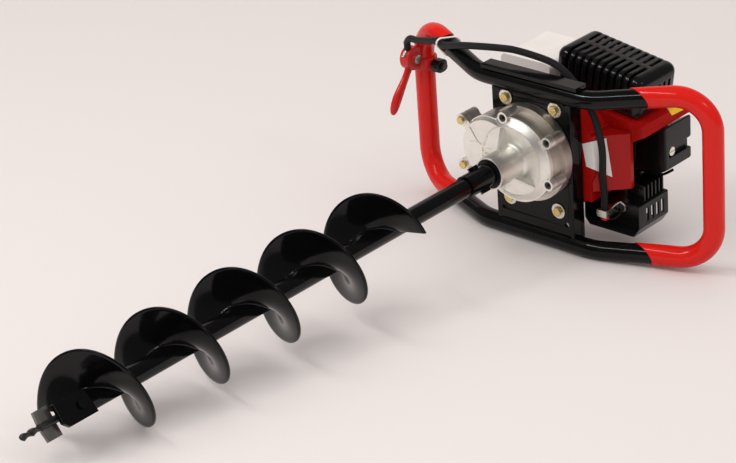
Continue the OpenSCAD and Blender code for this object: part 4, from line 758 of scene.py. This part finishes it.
# Each column is its x, how far the profile shrinks there, and whether a slot follows
def cover_columns():
    left, right = COVER_X
    corner = [(left + COVER_ROUND * (1 - math.cos(a)), COVER_ROUND * (1 - math.sin(a)), False)
              for a in quarter()]
    slots = [column for a, b in slot_edges(left, right) for column in ((a, 0, True), (b, 0, False))]
    return corner + slots + [(left + right - x, inset, False) for x, inset, _ in reversed(corner)]


print("cover: %d slots across, %d along" % (len(slot_edges(*COVER_X)), len(slot_edges(*COVER_Y))))

# %% [markdown]
# The grid becomes the shell: faces in a slot are simply left out, and two flat end walls with slots of
# their own close the sides. A thickness and a small bevel then turn the sheet into ribs, which is how the
# mould makes them.

# %% Slotted cylinder cover
COVER_WALL = 2.5
COVER_EDGE = 0.9
SHELL_EDGE_ANGLE = 40
SLIVER = 0.000001
BROW_BAND = 4.0
CRANK_X = 15.0
CYL_Z = 997.5
ENGINE_ROLL = 9.0
# The leaning cylinder's frame: x across, y to the starter, z up along the bore
BENCH = (
    LAY
    @ Matrix.Translation((CRANK_X, CRANK_Y, CYL_Z))
    @ Matrix.Rotation(math.radians(ENGINE_ROLL), 4, "Z")
    @ Matrix.Rotation(math.pi / 2, 4, "X")
)


def cover_grid():
    rows, columns = cover_rows(), cover_columns()
    n = len(rows)
    solid_rows = {0, n // 2 - 1, n - 2}
    verts = [BENCH @ Vector((x, y - out * inset, high - rise * inset))
             for x, inset, _ in columns for y, high, out, rise in rows]
    faces = [(c * n + r, (c + 1) * n + r, (c + 1) * n + r + 1, c * n + r + 1)
             for c in range(len(columns) - 1) for r in range(n - 1) if not columns[c][2] or r in solid_rows]
    return verts, faces


def end_wall(x, flip, base):
    brow = COVER_TOP - COVER_ROUND
    edges = [y for pair in slot_edges(*COVER_Y) for y in pair]
    strips = [COVER_Y[0] + COVER_ROUND, *edges, COVER_Y[1] - COVER_ROUND]
    heights = (COVER_LOW, SLOT_LOW, brow - BROW_BAND, brow)
    n = len(heights)
    verts = [BENCH @ Vector((x, y, high)) for y in strips for high in heights]
    faces = []
    for i in range(len(strips) - 1):
        for j in range(n - 1):
            if j != 1 or i % 2 == 0:
                k = base + n * i + j
                quad = (k, k + n, k + n + 1, k + 1)
                faces.append(quad[::-1] if flip else quad)
    return verts, faces


def thin_shell(name, verts, faces, thick, edge):
    mesh = bpy.data.meshes.new(name)
    mesh.from_pydata([tuple(v) for v in verts], [], faces)
    bm = bmesh.new()
    bm.from_mesh(mesh)
    bmesh.ops.remove_doubles(bm, verts=bm.verts, dist=WELD_GAP)
    bmesh.ops.dissolve_degenerate(bm, edges=bm.edges, dist=SLIVER)
    bm.to_mesh(mesh)
    bm.free()
    smooth_faces(mesh)
    obj = place_mesh(name, mesh)
    wall = obj.modifiers.new("wall", "SOLIDIFY")
    wall.thickness = thick * MM
    wall.offset = -1
    round_edges(obj, edge, 2, SHELL_EDGE_ANGLE)
    return obj


cover_verts, cover_faces = cover_grid()
for x, flip in ((COVER_X[0], True), (COVER_X[1], False)):
    wall_verts, wall_faces = end_wall(x, flip, len(cover_verts))
    cover_verts += wall_verts
    cover_faces += wall_faces
cover = thin_shell("slotted_cover", cover_verts, cover_faces, COVER_WALL, COVER_EDGE)
dress(cover, "machine", "black_plastic", "cylinder_cover")
print("cover faces:", len(cover.data.polygons))

# %% [markdown]
# Behind the slots the inside of the cover lies in shade, so a thin black sheet stands there as painted
# shade, and nothing bright shows through the slots. It could be left dark by the light alone, but a sheet
# keeps it dark from every side. It is a tray with its open side down, a little smaller than the cover.

# %% Painted shade sheet under the cover
SHADE_SHEET_GAP = 5.5
SHADE_SHEET_RAISE = 2.0
SHADE_SHEET_THICK = 0.8
SHADE_SHEET_EDGE = 2.0


def shade_sheet_tray():
    xs = (COVER_X[0] + SHADE_SHEET_GAP, COVER_X[1] - SHADE_SHEET_GAP)
    ys = (COVER_Y[0] + SHADE_SHEET_GAP, COVER_Y[1] - SHADE_SHEET_GAP)
    heights = (COVER_LOW + SHADE_SHEET_RAISE, COVER_TOP - SHADE_SHEET_GAP)
    plan = ((0, 0), (1, 0), (1, 1), (0, 1))
    verts = [BENCH @ Vector((xs[i], ys[j], high)) for high in heights for i, j in plan]
    faces = [(k, (k + 1) % 4, (k + 1) % 4 + 4, k + 4) for k in range(4)] + [(4, 5, 6, 7)]
    return thin_shell("painted_shade_sheet", verts, faces, SHADE_SHEET_THICK, SHADE_SHEET_EDGE)


# A black sheet of painted shade: under the real cover there is only shade here
shade_sheet = dress(shade_sheet_tray(), "machine", "black_plastic")
print("baffle faces:", len(shade_sheet.data.polygons))

# %% [markdown]
# The gearbox cover is cast: its rim has a thin raised lip that shines, the hub grows out of the face with
# a round fillet, and the hub's mouth is turned bright. The bevel rounds every edge of the cover alike,
# while these three differ. All are turned shapes, so a small profile of radius and height is spun about
# the drill's axis.

# %% Cast rim and hub
HUB_Z = 800.0
FACE_Z = 846.0
HUB_R = 22.5
RIM_R = 49.0
RIM_LIP_R = 1.0
RIM_LIP_IN = 1.1
RIM_LIP_RAISE = 0.2
MOUTH_LIP_R = 1.2
MOUTH_LIP_IN = 1.6
MOUTH_LIP_SINK = 0.6
FILLET_R = 6.0
LIP_SIDES = 10
SPIN_SIDES = 72
SINK = 0.3


def spin(name, profile, matrix=LAY):
    angles = round_angles(SPIN_SIDES)
    rings = [[Vector((r * math.cos(a), r * math.sin(a), z)) for a in angles] for r, z in profile]
    return skin(name, rings + [rings[0]], capped=False, matrix=matrix)


def lip_profile(radius, z, thick):
    return [(radius + thick * math.cos(a), z + thick * math.sin(a)) for a in round_angles(LIP_SIDES)]


def fillet_profile(radius, z, size):
    arc = [(radius + size * (1 - math.sin(a)), z - size * (1 - math.cos(a))) for a in quarter()]
    return arc + [(radius - SINK, z - size), (radius - SINK, z + SINK), (radius + size, z + SINK)]


turned = {
    "rim_lip": lip_profile(RIM_R - RIM_LIP_IN, FACE_Z - RIM_LIP_RAISE, RIM_LIP_R),
    "hub_fillet": fillet_profile(HUB_R, FACE_Z, FILLET_R),
    "hub_mouth": lip_profile(HUB_R - MOUTH_LIP_IN, HUB_Z + MOUTH_LIP_SINK, MOUTH_LIP_R),
}
for name, profile in turned.items():
    dress(spin(name, profile), "machine", "cast_aluminium")
print("turned details:", len(turned))

# %% [markdown]
# The flat lobe beside the rim has thin cast ridges that meet in a Y, and a breather rod leaves the case
# for the plate's flange. The ridges could be a bump, but they catch the light from the side, so both are
# sweeps of a small ring along a few points.

# %% Cast ridges and breather
RIDGE_R = 1.3
RIDGE_Z = FACE_Z + 0.2
BREATHER_R = 2.6
ridge_lines = (
    ((-67.9, -32.4), (-61.6, -23.4), (-55.4, -14.5), (-45.7, -10.0)),
    ((-66.5, -12.2), (-61, -13.0), (-55.4, -14.5)),
    ((-38.2, -26.5), (-42, -20.0), (-45.7, -10.0)),
    ((-45.7, -10.0), (-40, -9.8), (-34.8, -9.6)),
)
breather_line = ((50, 30, 884), (54, 26, 889), (58, 22, 893))


def rod(name, points, radius, slot, sides=12):
    path = [Vector(q) for q in points]
    rings = [ring(q, t, radius, sides) for q, t in zip(path, headings(path))]
    return dress(skin(name, rings), "machine", slot)


for k, line in enumerate(ridge_lines):
    rod("lobe_ridge_%d" % (k + 1), [(x, y, RIDGE_Z) for x, y in line], RIDGE_R, "cast_aluminium")
rod("breather_rod", breather_line, BREATHER_R, "cast_aluminium")
print("ridges:", len(ridge_lines))

# %% [markdown]
# The plate is welded between the two tubes, and the seams show on its front. A seam is a rippled bead as
# on the flight, so the same kind of sweep makes it, this time in a straight line.

# %% Welds of the plate
SEAM_R = 2.4
SEAM_SWELL = 0.12
SEAM_HALF = 56.0
SEAM_STEPS = 96
SEAM_SIDES = 10
SEAM_Z = 889.6
SEAM_INSET = 10.4


def seam_rings(y):
    rings = []
    for k in range(SEAM_STEPS + 1):
        x = SEAM_HALF * (2 * k / SEAM_STEPS - 1)
        swell = SEAM_R * (1 + SEAM_SWELL * math.cos(math.pi * k))
        rings.append(ring(Vector((x, y, SEAM_Z)), Vector((1, 0, 0)), swell, SEAM_SIDES))
    return rings


for word, y in (("top", -LOOP_TOP + SEAM_INSET), ("bottom", LOOP_BOTTOM - SEAM_INSET)):
    dress(skin("seam_" + word, seam_rings(y)), "machine", "black_paint")
print("plate seams: 2")

# %% [markdown]
# The conduit ends below the housing: a red ferrule closes it, and the stop wire and the throttle cable
# loop out of it to the engine. A thin choke rod lies over the guard's fins. Each has one radius, so the
# sweep of a rod serves them all, and the wires take the smooth curve of the conduit.

# %% Wires and rods
FERRULE_R = 5.4
FERRULE_SIDES = 20
WIRE_SIDES = 10
ferrule_line = ((88.25, 83, 925), (88.25, 87.5, 925), (88.25, 91, 925))
stop_line = ((92, 80, 930), (98, 73, 932), (106, 66, 934), (111, 70, 937), (109, 79, 941), (103, 84, 944))
throttle_line = ((90, 90, 927), (96, 92, 932), (101, 88, 938), (104, 80, 944))
choke_line = ((103, 58, 1000), (112, 54, 1004), (124, 50, 1008), (136, 42, 1011))
wires = {
    "stop_wire": (stop_line, 1.1, "silver_zinc"),
    "throttle_cable": (throttle_line, 1.3, "black_rubber"),
    "choke_rod": (choke_line, 1.9, "black_plastic"),
}

rod("conduit_ferrule", ferrule_line, FERRULE_R, "red_lever", FERRULE_SIDES)
for name, (line, radius, slot) in wires.items():
    rod(name, smooth_path(line), radius, slot, WIRE_SIDES)
print("wires:", len(wires))

# %% [markdown]
# The throttle is a small cast disc on a strap round the left handle, like a bicycle's brake lever. A
# plain cylinder would miss the foot that runs into the strap, so the disc is an outline with a thickness
# and round edges. Its boss and the strap are turned bands, spun about the pivot and about the handle.

# %% Throttle disc and strap
LEVER_Y = -62.0
LEVER_Z = 931.0
HAND_Z = 957.0
STRAP_Y = -48.0
DISC_R = 16.5
DISC_HALF = 7.5
DISC_EDGE = 2.6
DISC_STEPS = 40
DISC_FROM = 50
DISC_SWEEP = 290
FOOT_Y = (-56.0, -41.0)
FOOT_Z = HAND_Z - 13
BAND_CHAMFER = 0.8
# Inner and outer radius, half the length, and how far the edge slopes along it
BOSS_BAND = (3.2, 8.4, 8.9, 0.7)
STRAP_BAND = (14.2, 17.6, 8.6, 1.0)


def cast_plate(name, outline, low, high, edge):
    n = len(outline)
    verts = [LAY @ Vector((x, y, z)) for x in (low, high) for y, z in outline]
    faces = [tuple(range(n)), tuple(range(n, 2 * n))]
    faces += [(k, (k + 1) % n, n + (k + 1) % n, n + k) for k in range(n)]
    obj = new_mesh(name, verts, faces)
    bevel = round_edges(obj, edge, 4, SHELL_EDGE_ANGLE)
    bevel.harden_normals = True
    return obj


def disc_outline():
    sweep = [math.radians(DISC_FROM + DISC_SWEEP * k / DISC_STEPS) for k in range(DISC_STEPS + 1)]
    arc = [(LEVER_Y + DISC_R * math.sin(a), LEVER_Z + DISC_R * math.cos(a)) for a in sweep]
    return arc + [(y, FOOT_Z) for y in FOOT_Y]


def band_profile(inner, outer, half, slope):
    upper = [(outer, half - slope), (outer - BAND_CHAMFER, half), (inner, half)]
    return [(r, -z) for r, z in reversed(upper)] + upper


disc = cast_plate("throttle_disc", disc_outline(), -HANDLE_X - DISC_HALF, -HANDLE_X + DISC_HALF, DISC_EDGE)
dress(disc, "machine", "red_lever", "throttle_clamp")
boss_at = LAY @ Matrix.Translation((-HANDLE_X, LEVER_Y, LEVER_Z)) @ Matrix.Rotation(math.pi / 2, 4, "Y")
dress(spin("throttle_boss", band_profile(*BOSS_BAND), boss_at), "machine", "red_lever")
strap_at = LAY @ Matrix.Translation((-HANDLE_X, STRAP_Y, HAND_Z)) @ Matrix.Rotation(math.pi / 2, 4, "X")
dress(spin("throttle_strap", band_profile(*STRAP_BAND), strap_at), "machine", "red_lever")
print("throttle: disc of %d points, boss and strap" % len(disc_outline()))

# %% [markdown]
# The lever itself is a leaf that swells towards its end, with a slight wave along it. It could be
# sculpted, but a row of ovals says the same in a few numbers. It rides on the throttle's body, so it
# swings with the joint, while the silver ferrule of the cable stays with the handle.

# %% Throttle lever
LEAF_DROOP = math.radians(34)
LEAF_WAVE = 1.5
LEAF_HALF = 41.0
LEAF_SIDES = 20
# Distance from the pivot, half the width and half the thickness of each oval
LEAF_OVALS = (
    (8, 7, 3.9), (16, 6.4, 3.9), (24, 5.6, 4.0), (34, 5.8, 4.4), (46, 6.8, 5.2), (58, 7.6, 5.8),
    (68, 7.4, 5.7), (75, 6.2, 5.0), (80, 4.2, 3.6), (82.4, 1.6, 1.5),
)
CABLE_END_R = 3.4
CABLE_END_SIDES = 16
cable_end_line = ((-HANDLE_X, -76, 924), (-HANDLE_X, -71.5, 919), (-HANDLE_X, -67.5, 914.5))


def leaf_rings():
    along = Vector((0, math.cos(LEAF_DROOP), -math.sin(LEAF_DROOP)))
    across = Vector((0, math.sin(LEAF_DROOP), math.cos(LEAF_DROOP)))
    sideways = Vector((1, 0, 0))
    pivot = Vector((-HANDLE_X, LEVER_Y, LEVER_Z))
    rings = []
    for far, wide, thick in LEAF_OVALS:
        at = pivot + along * far + across * (LEAF_WAVE * math.sin(math.pi * far / LEAF_HALF))
        rings.append([at + across * (wide * math.cos(a)) + sideways * (thick * math.sin(a))
                      for a in round_angles(LEAF_SIDES)])
    return rings


dress(skin("throttle_leaf", leaf_rings()), "throttle", "red_lever", "throttle_lever")
rod("throttle_ferrule", cable_end_line, CABLE_END_R, "silver_zinc", CABLE_END_SIDES)
print("lever: %d ovals" % len(LEAF_OVALS))

# %% [markdown]
# The stop switch is a small moulded box beside the strap. A beveled cube would round all its edges alike,
# but this box has fat corners and a thin rim, so it is an outline of four elliptic corners with a small
# edge.

# %% Stop switch
SWITCH_X = (-219.2, -205.0)
SWITCH_Y = -47.0
SWITCH_CORE = 2.5
SWITCH_ROUND = (6.5, 7.5)
SWITCH_EDGE = 2.0


def switch_outline():
    outline = []
    for k, (dy, dz) in enumerate(((-1, 1), (1, 1), (1, -1), (-1, -1))):
        for a in quarter():
            turn = math.pi * (2 - k) / 2 - a
            y = SWITCH_Y + SWITCH_CORE * dy + SWITCH_ROUND[0] * math.cos(turn)
            z = HAND_Z + SWITCH_CORE * dz + SWITCH_ROUND[1] * math.sin(turn)
            outline.append((y, z))
    return outline


switch = cast_plate("switch_body", switch_outline(), *SWITCH_X, SWITCH_EDGE)
dress(switch, "machine", "black_plastic", "stop_switch")
print("switch outline: %d points" % len(switch_outline()))

# %% [markdown]
# A white cable tie holds the conduit against the tube. It is a thin strap drawn tight round two circles.
# A loose ring would stand off between them, so its outline is found from the support of each direction:
# the point that lies farthest out on either circle.

# %% Cable tie
TIE_REACH = 18.8
TIE_ALONG = 74.0
TIE_ROOM = 0.8
TIE_STEPS = 96
TIE_SIDE = Vector((-4.9, -9.5, -15.5))
# Distance off the circles and place along the tube, round the strap's section
TIE_SECTION = (
    (0.5, 1.2), (0.5, 3.8), (1.0, 4.1), (1.5, 4.1), (1.8, 3.7), (1.8, 1.3), (1.5, 0.9), (1.0, 0.9),
)


def tie_outline(theta, off):
    spoke = Vector((math.cos(theta), math.sin(theta)))
    near, far = TUBE_R + off, CONDUIT_R + TIE_ROOM + off
    return spoke * near if near > TIE_REACH * spoke.x + far else Vector((TIE_REACH, 0)) + spoke * far


def tie_rings():
    heading = (corner_point(-1, -1) - mid_point(-1, -1)).normalized()
    side = (TIE_SIDE - heading * TIE_SIDE.dot(heading)).normalized()
    over = heading.cross(side)
    start = mid_point(-1, -1) + heading * TIE_ALONG
    rings = []
    for k in range(TIE_STEPS + 1):
        flats = [(tie_outline(2 * math.pi * k / TIE_STEPS, off), z) for off, z in TIE_SECTION]
        rings.append([start + side * flat.x + over * flat.y + heading * z for flat, z in flats])
    return rings


dress(skin("tie_strap", tie_rings(), capped=False), "machine", "white_plastic", "cable_tie")
print("tie: %d steps round" % TIE_STEPS)

# %% [markdown]
# The drill's point is forged with a twist, so that it pulls itself into the soil. Twisting a finished bar
# with a modifier works too, but an oval that turns as it runs along the axis also closes in on the blunt
# end, and grows round where the shank enters its holder.

# %% Twisted point
POINT_LONG = 4.6
POINT_SHORT = 2.7
POINT_SIDES = 28
POINT_TURNS = 1.6
TWIST_LEN = 43.0
GROOVE_END = 24.0
GROOVE_FADE = 10.0
SHANK_FROM = 7.0
SHANK_STEP = 2.0
SHANK_STEPS = 32
# Place along the axis, and the share of the full section there
point_tip = [(0.3, 0.25), (0.9, 0.6), (2.0, 0.82), (3.5, 0.95), (5.5, 1.0)]
point_shank = [(SHANK_FROM + SHANK_STEP * k, 1.0) for k in range(SHANK_STEPS)]


def twist_ring(z, share):
    turn = Matrix.Rotation(2 * math.pi * POINT_TURNS * z / TWIST_LEN, 3, "Z")
    fade = min(1, max(0, (z - GROOVE_END) / GROOVE_FADE))
    wide = POINT_LONG * share
    thin = (POINT_SHORT + (POINT_LONG - POINT_SHORT) * fade) * share
    return [turn @ Vector((wide * math.cos(a), thin * math.sin(a), z)) for a in round_angles(POINT_SIDES)]


point_rings = [twist_ring(z, share) for z, share in point_tip + point_shank]
dress(skin("twisted_point", point_rings), "drill", "dark_steel", "pilot_point")
print("point: %.1f turns" % POINT_TURNS)

# %% [markdown]
# Two plain labels are stuck on the red housing, a white one on its front and a yellow one on the hood. A
# label follows whatever is under it, which a Shrinkwrap modifier can do. Here a grid of sight lines is
# dropped onto the housing instead, because the labels' corners are known from the camera's side. A label
# doesn't sink into a groove: wherever a point lies deeper than the middle of its two neighbours, it moves
# there.

# %% How a label lies
PHOTO_W = 736
PHOTO_H = 463
FOCUS = shot.lens / shot.sensor_width * PHOTO_W
LABEL_STEPS = 48
LABEL_ROW = LABEL_STEPS + 1
BRIDGE_PASSES = 120


def sight(px, py):
    across, down = (px - PHOTO_W / 2) / FOCUS, (py - PHOTO_H / 2) / FOCUS
    return (view_ahead + view_right * across - view_up * down).normalized()


def label_sights(corners):
    a, b, c, d = [Vector(q) for q in corners]
    shares = [k / LABEL_STEPS for k in range(LABEL_ROW)]
    spots = [(a * (1 - u) + b * u) * (1 - v) + (d * (1 - u) + c * u) * v for u in shares for v in shares]
    return [sight(*spot) for spot in spots]


def distances(sights, node, lift):
    deep = []
    for ray in sights:
        hit, place, _, _ = nodes[node].ray_cast(eye, ray)
        deep.append((place - eye).length - lift if hit else None)
    return deep


def bridge_grooves(deep):
    for _ in range(BRIDGE_PASSES):
        for k in range(LABEL_ROW, LABEL_ROW * LABEL_STEPS):
            before, here, after = deep[k - LABEL_ROW], deep[k], deep[k + LABEL_ROW]
            if None not in (before, here, after):
                deep[k] = min(here, (before + after) / 2)


print("label grid: %d by %d" % (LABEL_ROW, LABEL_ROW))

# %% [markdown]
# A label is a sheet of plastic film a fifth of a millimetre thick. The grid's squares become its faces,
# except where a sight line misses the housing, and a thickness makes a solid sheet of it.

# %% Plain labels
FILM = 0.0002
FRONT_CORNERS = ((582.3, 144), (606.3, 138.2), (612.4, 177.2), (586.4, 166.5))
FRONT_LIFT = 0.0006
HOOD_CORNERS = ((664.5, 104.2), (683, 103.6), (684, 109.5), (672, 115.5))
HOOD_LIFT = 0.0004


def label(name, corners, node, lift):
    sights = label_sights(corners)
    deep = distances(sights, node, lift)
    bridge_grooves(deep)
    starts = [i * LABEL_ROW + j for i in range(LABEL_STEPS) for j in range(LABEL_STEPS)]
    quads = [(k, k + LABEL_ROW, k + LABEL_ROW + 1, k + 1) for k in starts]
    quads = [quad for quad in quads if None not in [deep[k] for k in quad]]
    used = sorted({k for quad in quads for k in quad})
    order = {k: n for n, k in enumerate(used)}
    verts = [eye + sights[k] * deep[k] for k in used]
    sheet = new_mesh(name, verts, [tuple(order[k] for k in quad) for quad in quads], smooth=False)
    film = sheet.modifiers.new("thickness", "SOLIDIFY")
    film.thickness = FILM
    film.offset = 0
    return sheet


def stick(name, corners, lift, slot, film_finish):
    sheet = dress(label(name, corners, "fan_housing", lift), "machine", slot)
    sheet.data.materials[0] = film_finish
    return len(sheet.data.polygons)


label_white = finish("label_white", (0.72, 0.7, 0.67), 0.35, drift=0.04, grain=400, bump=0.03)
label_yellow = finish("label_yellow", (0.82, 0.5, 0.008), 0.35, drift=0.06, grain=400, bump=0.03)
front_faces = stick("label_front", FRONT_CORNERS, FRONT_LIFT, "white_plastic", label_white)
hood_faces = stick("label_hood", HOOD_CORNERS, HOOD_LIFT, "gold_zinc", label_yellow)
print("labels:", front_faces, hood_faces, "faces")
